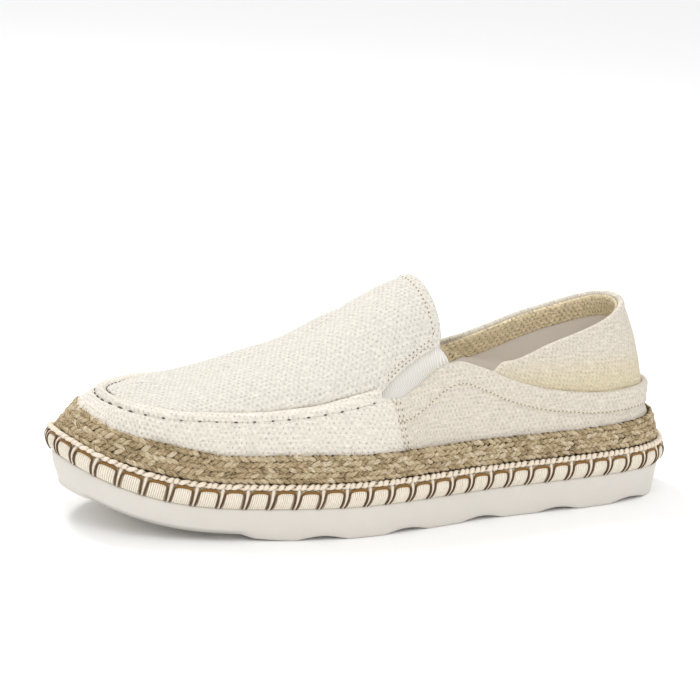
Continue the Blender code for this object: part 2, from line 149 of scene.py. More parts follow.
# %% Curves
def ramp(value, start, span):
    """0 at the start, 1 a span further on, a straight line between them, and level outside."""
    return np.clip((value - start) / span, 0, 1)


def eased(share):
    """The smooth step, 3 times the square less 2 times the cube: level at 0 and at 1."""
    return share**2 * (3 - 2 * share)


def bell(distance, width):
    """A bell curve, e to the minus square of distance over width: 1 at no distance, 0.37 at the width."""
    return np.exp(-((distance / width) ** 2))


def walked(points, axis=0):
    """Distance walked along an axis to each point: the running sum of the lengths of the steps, from 0."""
    step = np.linalg.norm(np.diff(points, axis=axis), axis=-1)
    start = np.zeros_like(np.take(step, [0], axis=axis))
    return np.cumsum(np.concatenate([start, step], axis=axis), axis=axis)


def cubic(t, span, start, start_slope, end, end_slope):
    """The cubic from start to end with these slopes at its ends, as t goes from 0 to 1 over the span."""
    leaving = start * (1 + 2 * t) * (1 - t) ** 2 + start_slope * span * t * (1 - t) ** 2
    arriving = end * t**2 * (3 - 2 * t) + end_slope * span * t**2 * (t - 1)
    return leaving + arriving


def smooth(at, where, values):
    """A curve through the table that never overshoots: cubic pieces with harmonic-mean slopes."""
    at = np.clip(np.asarray(at, dtype=float), where[0], where[-1])
    values = np.asarray(values, dtype=float)
    tail = (1,) * (values.ndim - 1)
    gap = np.diff(where).reshape(-1, *tail)
    rise = np.diff(values, axis=0) / gap
    before, after = rise[:-1], rise[1:]
    same = before * after > 0
    inner = np.where(same, 2 * before * after / np.where(same, before + after, 1.0), 0.0)
    slope = np.concatenate([rise[:1], inner, rise[-1:]])
    piece = np.clip(np.searchsorted(where, at, side="right") - 1, 0, len(gap) - 1)
    span = gap[piece]
    t = (at - np.asarray(where)[piece]).reshape(*at.shape, *tail) / span
    return cubic(t, span, values[piece], slope[piece], values[piece + 1], slope[piece + 1])


def closed_spline(knots, each):
    """The closed curve of least bending through the knots, with `each` points between each pair."""
    count = len(knots)
    after = np.roll(knots, -1, axis=0)
    step = np.linalg.norm(after - knots, axis=1)
    slope = (after - knots) / step[:, None]
    before = np.roll(step, 1)
    spot = np.arange(count)
    system = np.zeros((count, count))
    system[spot, spot - 1] = 1 / before
    system[spot, spot] = 2 / before + 2 / step
    system[spot, (spot + 1) % count] = 1 / step
    bend = 3 * (np.roll(slope, 1, axis=0) / before[:, None] + slope / step[:, None])
    leave = np.linalg.solve(system, bend)
    arrive = np.roll(leave, -1, axis=0)
    t = np.linspace(0, 1, each, endpoint=False)[None, :, None]
    knots, leave, after, arrive = (row[:, None] for row in (knots, leave, after, arrive))
    return cubic(t, step[:, None, None], knots, leave, after, arrive).reshape(-1, 2)


# %% [markdown]
# ### The outline of the sole
#
# Seen from above the sole is one closed curve. It could be drawn with arcs, but a spline through fifteen
# knots gives the changing roundness of a foot. Everything round the shoe is placed by the walk, the distance
# along this curve from the back of the heel, and by how far inside the curve it lies.

# %% Outline
outline = closed_spline(np.array(PLAN) * (LENGTH, BALL_WIDTH), 60)
outline = np.vstack([outline, outline[:1]])
outline_walk = walked(outline)
GIRTH = outline_walk[-1]
TOE_WALK = outline_walk[np.argmax(outline[:, 0])]
CENTRE = 0.5 * (outline[:, 1].min() + outline[:, 1].max())
print(f"Outline of the midsole: {GIRTH:.1f} mm round")


def plan_at(walk):
    """Point of the outline at this walk round it."""
    walk = np.mod(walk, GIRTH)
    return np.stack([np.interp(walk, outline_walk, outline[:, k]) for k in range(2)], axis=-1)


def plan_outward(walk):
    """Unit normal of the outline, from the chord between two points 1.5 mm to either side."""
    tangent = plan_at(walk + 1.5) - plan_at(walk - 1.5)
    normal = np.stack([-tangent[..., 1], tangent[..., 0]], axis=-1)
    return normal / np.linalg.norm(normal, axis=-1, keepdims=True)


def plan_inside(walk, inset):
    """Outline moved inwards by the inset."""
    return plan_at(walk) - plan_outward(walk) * np.asarray(inset)[..., None]


def outer_walk(station):
    """The walk to this station on the outer side."""
    half = outline_walk <= TOE_WALK
    return np.interp(station, outline[half, 0], outline_walk[half])


def inner_walk(station):
    """The walk to this station on the inner side."""
    half = outline_walk >= TOE_WALK
    return np.interp(station, outline[half, 0][::-1], outline_walk[half][::-1])


# %% [markdown]
# ### Toe spring and the columns of the upper
#
# The toe of a real shoe is sprung: it lifts off the ground so that the foot can roll. The upper's panels
# are cut along columns, numbered from the back of the heel along the outer side. Column 10 is the notch of
# the collar, 13 the flap's free edge, 19 the side seam and 36 the toe. A piece may start between two
# columns, so the number can be a fraction.


# %% Springs and columns
def spring(station, start, power):
    """Toe lift: the whole spring times the share of the way from the start to the tip, raised to a power."""
    share = np.clip((station / LENGTH - start) / (1 - start), 0, None)
    return TOE_SPRING * share**power


def rocker(station):
    """Height of the bottom of the sole."""
    return spring(station, 0.688, 1.64)


def lift(station):
    """Height added to the layers above the sole: the spring at the toe, and 1.2 mm at the heel."""
    return spring(station, 0.752, 2.49) + 1.2 * np.clip(1 - station / 100.0, 0, 1)


NOTCH, MOUTH, SEAM, TOE, COLUMNS = 10, 13, 19, 36, 72
notch, flap, seam = outer_walk(np.array([NOTCH_STATION, FLAP_STATION, SEAM_STATION]))
outer_columns = np.concatenate(
    [
        np.linspace(0, notch, NOTCH + 1)[:-1],
        np.linspace(notch, flap, 4)[:-1],
        np.linspace(flap, seam - 0.8, 5),
        [seam - 0.4],
        seam + (TOE_WALK - seam) * (1 - (1 - np.linspace(0, 1, 18)) ** 1.25),
    ]
)
inner_columns = inner_walk(plan_at(outer_columns[1:-1])[:, 0])[::-1]
column_walk = np.concatenate([outer_columns, inner_columns, [GIRTH]])


def walk_of(column):
    """The walk to a column, which may be a fraction, and may be negative for the inner side of the heel."""
    column = np.asarray(column, dtype=float)
    turns = np.floor(column / COLUMNS)
    return np.interp(column - turns * COLUMNS, np.arange(COLUMNS + 1), column_walk) + turns * GIRTH


def column_of(walk):
    """The column at a walk: walk_of turned round."""
    turns = np.floor(np.asarray(walk) / GIRTH)
    return np.interp(walk - turns * GIRTH, column_walk, np.arange(COLUMNS + 1)) + turns * COLUMNS


def big_toe(points):
    """Extra height over the big toe, fading towards the instep and the middle of the shoe."""
    inward = np.clip(-points[..., 1] / (0.5 * BALL_WIDTH), 0, 1)
    return 3.0 * eased(ramp(points[..., 0], 195.0, 50.0)) * inward


print(f"Toe spring: {lift(LENGTH):.1f} mm at the tip, columns every {GIRTH / COLUMNS:.1f} mm on average")


# %% [markdown]
# ### Three patches of skin
#
# The side wall rises from the sole to the edge line in three stages: the braid's top, the band where the
# moccasin roll begins, and the edge. The apron is a Bezier sheet from the edge to the crown, and the soft
# heel a leaning strip from the edge to the rim. Each is a function of a column and a share of the way up,
# so a panel is cut by giving it a range of columns and shares, exactly as a pattern is cut from cloth.


# %% The skin
def side_lines(walk):
    """Foot, braid top, band and edge lines at these walks, as (4, walks, 3)."""
    station = plan_at(walk)[..., 0]
    insets = [5.8 + 0 * station, smooth(station, SIDES[:, 0], SIDES[:, 1]) + 1.8]
    insets += [smooth(station, SIDES[:, 0], SIDES[:, k]) for k in (2, 4)]
    lines = np.stack([plan_inside(walk, inset) for inset in insets])
    heights = np.stack(
        [
            MIDSOLE_TOP + 0.3 + lift(lines[0, ..., 0]),
            BRAID_TOP + lift(lines[1, ..., 0]) + smooth(station, *BRAID_EDGE.T),
            smooth(station, SIDES[:, 0], SIDES[:, 3]),
            smooth(station, SIDES[:, 0], SIDES[:, 5]),
        ]
    )
    heights[2:] += big_toe(lines[2:])
    return np.concatenate([lines, heights[..., None]], axis=-1)


def wall(column, up):
    """The side wall: a smooth curve up through the four lines, slid along the walk where the seam slants.

    The slide is a bell of the distance from the seam, whole at the foot and none at the edge.
    """
    walk = walk_of(column)
    station = plan_at(walk)[:, 0]
    side = np.where(np.mod(column, COLUMNS) <= TOE, 1, -1)
    slant = 19.0 * bell(station - SEAM_STATION, 22.0) * side
    shares = enumerate((1.0, 0.6, 0.2, 0.0))
    lines = np.stack([side_lines(walk - share * slant)[k] for k, share in shares])
    return smooth(up, np.arange(4), lines)


# %% [markdown]
# ### Apron and soft heel
#
# Above the edge line two free surfaces go on: the apron as a Bezier sheet, because its first and last
# control points lie on the two lines that it joins, and the soft heel as a straight strip with a swell.


# %% Apron and heel surfaces
def apron_at(column, up):
    """The apron: a cubic Bezier from the edge line to the crown. `up` is (rows, columns) or (rows,)."""
    edge = wall(column, np.array([3.0]))[0]
    share = 1 - np.abs(column - TOE) / (TOE - MOUTH)
    crown = np.stack([smooth(share, CROWN[:, 0], CROWN[:, k]) for k in (1, 2, 3)], axis=-1)
    crown[:, 2] = INSTEP_HEIGHT * crown[:, 2] + big_toe(crown)
    t = up if up.ndim == 2 else up[:, None]
    t = np.broadcast_to(t, (t.shape[0], len(column)))[..., None]
    rise = (crown - edge) * (0, 0, 1)
    reach = (crown - edge) * (1, 1, 0)
    climb = smooth(share, CROWN[:, 0], CROWN[:, 4])[:, None]
    first = edge + 0.12 * reach + climb * rise
    second = crown - 0.48 * reach
    skin = (1 - t) ** 3 * edge + 3 * t * (1 - t) ** 2 * first + 3 * t**2 * (1 - t) * second + t**3 * crown
    bow = 4.2 * np.clip(1 - share / 0.4, 0, 1)[:, None] ** 2 * (1, 0, 0)
    return skin - bow * (1 - (1 - t) ** 3)


def heel_at(column, up):
    """The soft heel: straight from the edge line to the leaning rim, plus a parabola that swells the back."""
    edge = wall(column, np.array([3.0]))[0]
    walk = walk_of(column)
    station = plan_at(walk)[:, 0]
    inset, outer, inner, lean = (smooth(station, RIM[:, 0], RIM[:, k]) for k in (1, 2, 3, 4))
    # The two rim heights blend into each other within 0.8 of a column of the back.
    turn = np.clip(0.5 + 0.5 * column / 0.8, 0, 1)
    line = plan_inside(walk, inset) + lean[:, None] * (1, 0)
    rim = np.concatenate([line, HEEL_HEIGHT * (inner + (outer - inner) * turn)[:, None]], axis=-1)
    t = np.asarray(up)[:, None, None]
    behind = plan_outward(walk) * (lean / RIM[0, 4])[:, None] * 1.1
    # The rim leaves the edge line 8 mm behind the notch on the outer side, and at the notch on the inner one.
    outer_start, inner_start = ramp(station, NOTCH_STATION - 8.0, -9.5), ramp(station, NOTCH_STATION, -0.5)
    start = np.where(column > 0, outer_start, inner_start)
    rim = edge + (rim - edge) * (start * (2 - start))[:, None]
    return edge + (rim - edge) * t + np.pad(behind, ((0, 0), (0, 1))) * 4 * t * (1 - t)


print("Edge line at the seam:", np.round(wall(np.array([SEAM]), np.array([3.0]))[0, 0], 1))

# %% [markdown]
# ### Grids of points
#
# A grid of points becomes a mesh with one quad for each cell. The rows run up the piece and the columns
# from the heel along the outer side, which makes the faces point outwards. A piece of cloth is a slab: an
# outer skin, an inner one, and a strip round the rim. Its UV map is in millimetres of cloth, so that a
# weave keeps its true scale on every panel.


# %% Grids and slabs
def normals_of(points):
    """Unit normals of a grid: the cross product of the steps along the rows and up the columns."""
    along = np.gradient(points, axis=1)
    up = np.gradient(points, axis=0)
    normal = np.cross(along, up)
    length = np.linalg.norm(normal, axis=-1, keepdims=True)
    return normal / np.where(length > 1e-9, length, 1) * -1


def read_paths(path, wanted):
    """Each column's point at the `wanted` distances along it: count the points passed, add the share left."""
    gone = walked(path)
    wanted = np.broadcast_to(wanted, (len(wanted), path.shape[1]))
    step = np.clip((gone[None] <= wanted[:, None]).sum(axis=1) - 1, 0, len(path) - 2)
    column = np.arange(path.shape[1])
    share = (wanted - gone[step, column]) / np.maximum(gone[step + 1, column] - gone[step, column], 1e-9)
    return path[step, column] + (path[step + 1, column] - path[step, column]) * share[..., None]


def rows_at(table, share):
    """Rows read between those of a table: share 0 gives the first and share 1 the last."""
    spot = np.clip(share * (len(table) - 1), 0, len(table) - 1.001)
    low = spot.astype(int)
    return table[low] + (table[low + 1] - table[low]) * (spot - low)[:, None]


def cloth_map(points, walk=None):
    """UV in millimetres: the walk along the rows, and the distance up each column."""
    up = walked(points)
    if walk is None:
        walk = walked(points[len(points) // 2])
    return np.stack([np.broadcast_to(walk, up.shape), up], axis=-1)


# %% [markdown]
# ### Meshes
#
# Vertex numbers are kept as a grid too, so that faces are slices of it: a ring is closed by writing its
# first column again, and two halves are sewn by giving them the same numbers. Blender takes the arrays whole
# through foreach_set, which is far quicker than adding faces one by one.


# %% Meshes
def numbered(points):
    """The vertex numbers of a grid of points, row by row."""
    return np.arange(points[..., 0].size).reshape(points.shape[:-1])


def quads(ids):
    """The quads of grids of vertex numbers, whose last two axes are rows and columns."""
    corners = [ids[..., :-1, :-1], ids[..., 1:, :-1], ids[..., 1:, 1:], ids[..., :-1, 1:]]
    return np.stack(corners, axis=-1).reshape(-1, 4)


def ringed(ids, axis=1):
    """Vertex numbers whose first row or column comes again after the last, which closes a ring."""
    return np.concatenate([ids, np.take(ids, [0], axis=axis)], axis=axis)


def add_mesh(name, points, faces, uv=None, finish=None, **attributes):
    """A mesh object: points in millimetres from the heel, quads, a UV and further values for each vertex."""
    points = (points.reshape(-1, 3) - (LENGTH / 2, CENTRE, 0)) * MM
    faces = np.asarray(faces)
    mesh = bpy.data.meshes.new(name)
    mesh.vertices.add(len(points))
    mesh.vertices.foreach_set("co", points.astype(np.float32).ravel())
    mesh.loops.add(faces.size)
    mesh.loops.foreach_set("vertex_index", faces.ravel().astype(np.int32))
    mesh.polygons.add(len(faces))
    mesh.polygons.foreach_set("loop_start", np.arange(0, faces.size, 4, dtype=np.int32))
    if uv is not None:
        layer = mesh.uv_layers.new(name="cloth")
        layer.data.foreach_set("uv", uv.reshape(-1, 2)[faces.ravel()].astype(np.float32).ravel())
    for key, values in attributes.items():
        attribute = mesh.attributes.new(key, "FLOAT", "POINT")
        attribute.data.foreach_set("value", np.ravel(values).astype(np.float32))
    mesh.update()
    mesh.validate()
    mesh.shade_smooth()
    made = bpy.data.objects.new(name, mesh)
    bpy.context.scene.collection.objects.link(made)
    if finish is not None:
        mesh.materials.append(finish)
    print(f"{name}: {len(points)} points, {len(faces)} faces")
    return made


def add_grid(name, points, uv=None, closed=False, **rest):
    """A grid of points as an object. A closed one joins its last column to its first."""
    ids = numbered(points)
    return add_mesh(name, points, quads(ringed(ids) if closed else ids), uv, **rest)


def add_slab(name, outer, inner, uv, finish):
    """A closed slab between two grids of one size: the outer skin, the inner one turned round, the rim."""
    front = numbered(outer)
    rim = np.concatenate([front[0], front[1:, -1], front[-1, -2::-1], front[-2:0:-1, 0], front[0, :1]])
    count = front.size
    faces = [quads(front), quads(front[:, ::-1] + count), quads(np.stack([rim + count, rim]))]
    points = np.concatenate([outer.reshape(-1, 3), inner.reshape(-1, 3)])
    return add_mesh(name, points, np.concatenate(faces), np.concatenate([uv.reshape(-1, 2)] * 2), finish)


# %% [markdown]
# ## Finishes
#
# Colours are written as sRGB hex, as a colour picker shows them, and Blender's shaders want linear light,
# so one function turns them. Another adds a node with its settings and links. Every material below is built
# from the two. Blender's noise seldom leaves the range 0.3 to 0.7, so that is the range the colours are
# spread over.


# %% Colour and node helpers
NOISE_RANGE = {"From Min": 0.3, "From Max": 0.7}


def linear(colour):
    """sRGB hex to linear RGBA: the lower part of the curve is a straight line, the rest a power of 2.4."""
    values = np.array([int(colour[i : i + 2], 16) for i in (0, 2, 4)]) / 255
    values = np.where(values <= 0.04045, values / 12.92, ((values + 0.055) / 1.055) ** 2.4)
    return (*values.tolist(), 1.0)


def new_finish(name, colour, **sockets):
    """A material, its nodes and its shader, whose plain values come from `sockets`."""
    made = bpy.data.materials.new(name)
    made.use_nodes = True
    shader = made.node_tree.nodes["Principled BSDF"]
    shader.inputs["Base Color"].default_value = linear(colour)
    for key, value in sockets.items():
        shader.inputs[key.replace("_", " ")].default_value = value
    return made, made.node_tree, shader


def fill_sockets(tree, node, links):
    """Fills the node's sockets, by name or number: a node or a socket is linked, and a value is set."""
    for key, value in links.items():
        value = value.outputs[0] if isinstance(value, bpy.types.Node) else value
        if isinstance(value, bpy.types.NodeSocket):
            tree.links.new(value, node.inputs[key])
        else:
            node.inputs[key].default_value = value


def add_node(tree, kind, links=None, **settings):
    """A node with attributes from `settings` and sockets from `links`."""
    made = tree.nodes.new("ShaderNode" + kind)
    for key, value in settings.items():
        setattr(made, key, value)
    fill_sockets(tree, made, links or {})
    return made


# %% [markdown]
# ### Cotton canvas, plain weave
#
# Slubby half-bleached cotton, woven from yarns a good millimetre thick. Every yarn hides half its
# crossings, so the pinholes that stay open lie like the joints of a brick wall: cosine times cosine is 1
# exactly there. The real openings, some 2 by 1.6 mm apart, are drawn at 2.4 by 2.2 so that they show. The
# UV map is in millimetres; a slow noise bends it, because hand-spun yarn wanders, and another closes many
# of the holes.


# %% Canvas
MATT_COTTON = {"Roughness": 0.92, "Specular_IOR_Level": 0.18, "Sheen_Weight": 0.08, "Sheen_Roughness": 0.6}


def make_canvas(
    name,
    colour,
    along=1.18,
    across=2.15,
    holes=0.85,
    slub=0.13,
    depth=0.00042,
    shadow="A8A08F",
    low_colour=None,
):
    """Woven canvas: brick-set pinholes and lengthwise slubs, for the colour and for the bump.

    `along` and `across` are half a brick in mm, `holes` how dark the pinholes are, `slub` the change of tone
    from yarn to yarn, `depth` the relief in metres, `shadow` the colour of a hole, and `low_colour` the
    painted warm shade of the cloth low down on the shoe.
    """
    made, tree, shader = new_finish(name, colour, **MATT_COTTON)
    cloth = add_node(tree, "UVMap", uv_map="cloth")
    wander = add_node(tree, "TexNoise", {"Vector": cloth, "Scale": 0.22, "Detail": 3.0, "Roughness": 0.6})
    wander = {0: wander.outputs["Color"], 1: (0.5, 0.5, 0.5)}
    wander = add_node(tree, "VectorMath", wander, operation="SUBTRACT")
    bent = {0: wander, 1: (2.4, 2.0, 0), 2: cloth}
    bent = add_node(tree, "VectorMath", bent, operation="MULTIPLY_ADD")
    turns = {0: bent, 1: (np.pi / along, np.pi / across, 0)}
    turns = add_node(tree, "VectorMath", turns, operation="MULTIPLY")
    cosines = add_node(tree, "SeparateXYZ", {0: add_node(tree, "VectorMath", {0: turns}, operation="COSINE")})
    brick = add_node(tree, "Math", {0: cosines.outputs[0], 1: cosines.outputs[1]}, operation="MULTIPLY")
    chance = add_node(tree, "TexNoise", {"Vector": bent, "Scale": 0.12, "Detail": 4.0, "Roughness": 0.85})
    chance = add_node(tree, "MapRange", {"Value": chance, "From Min": 0.36, "From Max": 0.64})
    pit = {"Value": brick, "From Min": 0.70, "From Max": 0.99}
    pit = add_node(tree, "MapRange", pit, interpolation_type="SMOOTHSTEP")
    pit = add_node(tree, "Math", {0: pit, 1: chance}, operation="MULTIPLY")
    pit = add_node(tree, "Math", {0: pit, 1: holes}, operation="MULTIPLY")
    slubs = add_node(tree, "VectorMath", {0: bent, 1: (0.22, 0.85, 0)}, operation="MULTIPLY")
    slubs = add_node(tree, "TexNoise", {"Vector": slubs, "Scale": 1.0, "Detail": 3.0, "Roughness": 0.6})
    fibre = add_node(tree, "VectorMath", {0: bent, 1: (0.8, 1.3, 0)}, operation="MULTIPLY")
    fibre = add_node(tree, "TexNoise", {"Vector": fibre, "Scale": 1.1, "Detail": 2.0, "Roughness": 0.7})
    tone = NOISE_RANGE | {"Value": slubs, "To Min": 1 - slub, "To Max": 1 + slub}
    tone = add_node(tree, "MapRange", tone)
    grain = NOISE_RANGE | {"Value": fibre, "To Min": 0.90, "To Max": 1.10}
    grain = add_node(tree, "MapRange", grain)
    # Painted shade: the cloth is up to 4% darker round the pinholes and 4% lighter between them.
    weave = add_node(tree, "MapRange", {"Value": brick, "From Min": -1.0, "To Min": 1.04, "To Max": 0.96})
    for part in (grain, weave):
        tone = add_node(tree, "Math", {0: tone, 1: part}, operation="MULTIPLY")
    base = linear(colour)[:3]
    if low_colour:
        # The painted warm shade comes in from 73 mm above the ground down to 56 mm.
        height = add_node(tree, "SeparateXYZ", {0: add_node(tree, "TexCoord").outputs["Object"]})
        low = {"Value": height.outputs[2], "From Min": 0.073, "From Max": 0.056}
        low = add_node(tree, "MapRange", low, interpolation_type="SMOOTHSTEP")
        base = {0: low, 6: linear(colour), 7: linear(low_colour)}
        base = add_node(tree, "Mix", base, data_type="RGBA").outputs[2]
    yarn = add_node(tree, "VectorMath", {0: base, "Scale": tone}, operation="SCALE")
    mixed = add_node(tree, "Mix", {0: pit, 6: yarn, 7: linear(shadow)}, data_type="RGBA")
    relief = add_node(tree, "Math", {0: brick, 1: -0.3, 2: slubs}, operation="MULTIPLY_ADD")
    relief = add_node(tree, "Math", {0: fibre, 1: 0.5, 2: relief}, operation="MULTIPLY_ADD")
    relief = add_node(tree, "Math", {0: pit, 1: -0.9, 2: relief}, operation="MULTIPLY_ADD")
    bump = add_node(tree, "Bump", {"Height": relief, "Distance": depth, "Strength": 0.8})
    fill_sockets(tree, shader, {"Base Color": mixed.outputs[2], "Normal": bump})
    return made


# The toe wall keeps the plain canvas colour. The apron, quarter and soft heel take darker copies of the same
# canvas: the difference is painted shade.
canvas = make_canvas("cotton_canvas", "DDD7CB")
shaded_apron_cloth = make_canvas("cotton_canvas_apron_shaded", "D5D0C6")
shaded_quarter_cloth = make_canvas("cotton_canvas_quarter_shaded", "D3CBBD", holes=0.7)
# The soft heel's low colour is a warmer painted shade, low on the heel near the quarter's topline.
shaded_heel_cloth = make_canvas("cotton_canvas_heel_shaded", "D2CABC", holes=0.7, low_colour="D0C4A8")
COARSE_TAPE = {"along": 1.6, "across": 2.2, "holes": 1.0, "slub": 0.25, "depth": 0.0008, "shadow": "7A6640"}
binding_cloth = make_canvas("jute_cotton_tape", "E6D5B2", **COARSE_TAPE)
insole_cloth = make_canvas("insole_canvas", "C2B69E", holes=0.5)

# %% [markdown]
# ### Cotton lining and ribbed elastic
#
# The lining is a fine cotton whose weave is too small to see, so a faint noise stands for it. Elastic is
# knitted in ribs 1 mm apart, a sine of the walk along the cloth, pale on the ribs and greyer between them,
# where the grey is painted shade.

# %% Lining and elastic
lining_cloth, tree, shader = new_finish("cotton_lining", "E9E2DA", Roughness=0.95, Specular_IOR_Level=0.15)
cloth = add_node(tree, "UVMap", uv_map="cloth")
nap = add_node(tree, "TexNoise", {"Vector": cloth, "Scale": 1.2, "Detail": 3.0})
bump = add_node(tree, "Bump", {"Height": nap, "Distance": 0.0002, "Strength": 0.5})
fill_sockets(tree, shader, {"Normal": bump})

RIB_PITCH = 1.05
elastic, tree, shader = new_finish("ribbed_elastic", "EFEBE2", Roughness=0.75, Specular_IOR_Level=0.25)
cloth = add_node(tree, "UVMap", uv_map="cloth")
ribs = add_node(tree, "VectorMath", {0: cloth, 1: (2 * np.pi / RIB_PITCH, 0, 0)}, operation="MULTIPLY")
ribs = add_node(tree, "VectorMath", {0: ribs}, operation="SINE")
ribs = add_node(tree, "SeparateXYZ", {0: ribs})
rib_tone = add_node(tree, "MapRange", {"Value": ribs, "From Min": -1.0, "To Min": 0.0})
# Painted shade: greyer between the ribs, pale on them.
rib_shade_mix = add_node(tree, "Mix", {0: rib_tone, 6: linear("DCD7CE"), 7: linear("F6F4EF")}, data_type="RGBA")
bump = add_node(tree, "Bump", {"Height": rib_tone, "Distance": 0.0003, "Strength": 0.7})
fill_sockets(tree, shader, {"Base Color": rib_shade_mix.outputs[2], "Normal": bump})

# %% [markdown]
# ### Yarns and threads
#
# The wrapping yarn is mercerised cotton, which has a soft shine along the fibre; the dark gaps between the
# turns are painted shade. The brown thread is waxed and twisted: its legs are dark, the loose bar over each
# block ochre. Both are one function: an attribute of the mesh says where the yarn is deep and where pale,
# and streaks along the fibre break it up.


# %% Yarn and thread
def make_yarn(name, deep, pale, attribute, gloss, streak=(0.35, 3.2, 0)):
    """A yarn whose colour runs from `deep` to `pale` with an attribute, broken by streaks along its UV."""
    made, tree, shader = new_finish(name, pale, Roughness=gloss, Specular_IOR_Level=0.3, Sheen_Weight=0.1)
    share = add_node(tree, "Attribute", attribute_name=attribute)
    streaks = {0: add_node(tree, "UVMap", uv_map="cloth"), 1: streak}
    streaks = add_node(tree, "VectorMath", streaks, operation="MULTIPLY")
    streaks = add_node(tree, "TexNoise", {"Vector": streaks, "Scale": 1.0, "Detail": 3.0, "Roughness": 0.65})
    offset = add_node(tree, "MapRange", NOISE_RANGE | {"Value": streaks, "To Min": -0.22, "To Max": 0.22})
    share = add_node(tree, "Math", {0: share.outputs["Fac"], 1: offset}, operation="ADD", use_clamp=True)
    mixed = add_node(tree, "Mix", {0: share, 6: linear(deep), 7: linear(pale)}, data_type="RGBA")
    bump = add_node(tree, "Bump", {"Height": streaks, "Distance": 0.0003, "Strength": 0.6})
    fill_sockets(tree, shader, {"Base Color": mixed.outputs[2], "Normal": bump})
    return made


# For the cotton yarn and cord the deep colour is painted shade in the gaps between turns and plies.
cotton = make_yarn("mercerised_cotton", "AE9E82", "EEE6D7", "crest", 0.6, streak=(1.9, 0.45, 0))
cord_cotton = make_yarn("cream_cotton_cord", "A8916C", "EADECC", "crest", 0.75)
brown_thread = make_yarn("waxed_brown_thread", "553C20", "805A20", "bar", 0.55, streak=(1.0, 1.4, 0))

# %% [markdown]
# ### Jute
#
# Jute is a coarse bast fibre, golden brown and dull, and no two strands of a plait share a shade. Each
# float carries a chance shade, and long streaks run down it. The backing behind the plait is the same fibre,
# given the darkest tone as painted shade.

# %% Jute
DULL_FIBRE = {"Roughness": 0.92, "Specular_IOR_Level": 0.15, "Sheen_Weight": 0.08}
jute, tree, shader = new_finish("plaited_jute", "B19B7E", **DULL_FIBRE)
strand = {0: add_node(tree, "UVMap", uv_map="cloth"), 1: (0.45, 3.6, 0)}
strand = add_node(tree, "VectorMath", strand, operation="MULTIPLY")
strand = add_node(tree, "TexNoise", {"Vector": strand, "Scale": 1.0, "Detail": 4.0, "Roughness": 0.7})
shade = add_node(tree, "Attribute", attribute_name="shade")
tone = {"Value": strand, "From Min": 0.36, "From Max": 0.64, "To Min": -0.15, "To Max": 0.5}
tone = add_node(tree, "MapRange", tone)
tone = add_node(tree, "Math", {0: shade.outputs["Fac"], 1: 0.4, 2: tone}, operation="MULTIPLY_ADD")
shades = add_node(tree, "ValToRGB", {"Fac": tone})
stops = shades.color_ramp.elements
for spot, colour in ((0.0, "3E2F1D"), (0.25, "A6906C"), (0.6, "D2C09E"), (1.0, "EBDFC4")):
    stops.new(spot).color = linear(colour)
stops.remove(stops[0])
stops.remove(stops[-1])
bump = add_node(tree, "Bump", {"Height": strand, "Distance": 0.0005, "Strength": 0.9})
fill_sockets(tree, shader, {"Base Color": shades, "Normal": bump})

# %% [markdown]
# ### EVA foam
#
# The sole is moulded EVA foam: off-white, satin, with the faint mottle of its skin. Its index of refraction
# is near 1.5.

# %% Foam
eva, tree, shader = new_finish("moulded_eva_foam", "D7D2C8", Roughness=0.5, IOR=1.48, Specular_IOR_Level=0.35)
place = add_node(tree, "TexCoord")
mottle = add_node(tree, "TexNoise", {"Vector": place.outputs["Object"], "Scale": 90.0, "Detail": 3.0})
foam_mix = add_node(tree, "Mix", {0: mottle, 6: linear("D1CCC4"), 7: linear("D8D3CB")}, data_type="RGBA")
skin = add_node(tree, "TexNoise", {"Vector": place.outputs["Object"], "Scale": 900.0, "Detail": 2.0})
bump = add_node(tree, "Bump", {"Height": skin, "Distance": 0.00012, "Strength": 0.5})
fill_sockets(tree, shader, {"Base Color": foam_mix.outputs[2], "Normal": bump})
print("Finishes:", [made.name for made in bpy.data.materials])

# %% [markdown]
# ## The foam sole
#
# The sole is one moulding of EVA foam. It is lofted: a profile of inset and height is carried round the
# outline, and the layers above the bevel rise with the upper's spring while the bottom follows the ground's
# rocker. Shallow arches cut the bottom edge into lands. The underside closes onto a spine along the middle,
# so there is no pole.


# %% Sole helpers
def even_walks(half):
    """Walks spaced evenly up the outer side, and those at the same stations down the inner side."""
    outer = np.linspace(0, TOE_WALK, half + 1)
    return np.concatenate([outer, inner_walk(plan_at(outer[1:-1])[:, 0])[::-1]])


ARCH_PITCH, FIRST_ARCH, ARCH_HEIGHT = 41.0, 28.0, 1.8


def arches(station):
    """Height of the arches between the lands: the top of a cosine of the station."""
    turn = np.cos(2 * np.pi * (station - FIRST_ARCH) / ARCH_PITCH)
    return ARCH_HEIGHT * np.clip((turn + 0.2) / 1.2, 0, None)


def spine_of(ring):
    """A ring's points moved onto the middle line, 85% as long."""
    partner = ring[-np.arange(len(ring)) % len(ring)]
    middle = 0.5 * (ring + partner)
    middle[:, 0] = LENGTH / 2 + 0.85 * (middle[:, 0] - LENGTH / 2)
    return middle


def joined_halves(ids, row):
    """Gives the inner half of a row the vertices of the outer half, where both meet on a line."""
    count = ids.shape[1]
    half = count // 2
    if count % 2:
        ids[row, half + 1 :] = ids[row, :half][::-1]
    else:
        ids[row, half + 1 :] = ids[row, 1:half][::-1]
    return ids


# %% [markdown]
# ### Lofting it
#
# Each row of the profile becomes one ring round the shoe. Low rings follow the rocker and the arches, high
# ones the spring of the upper, and the rings between share the two.

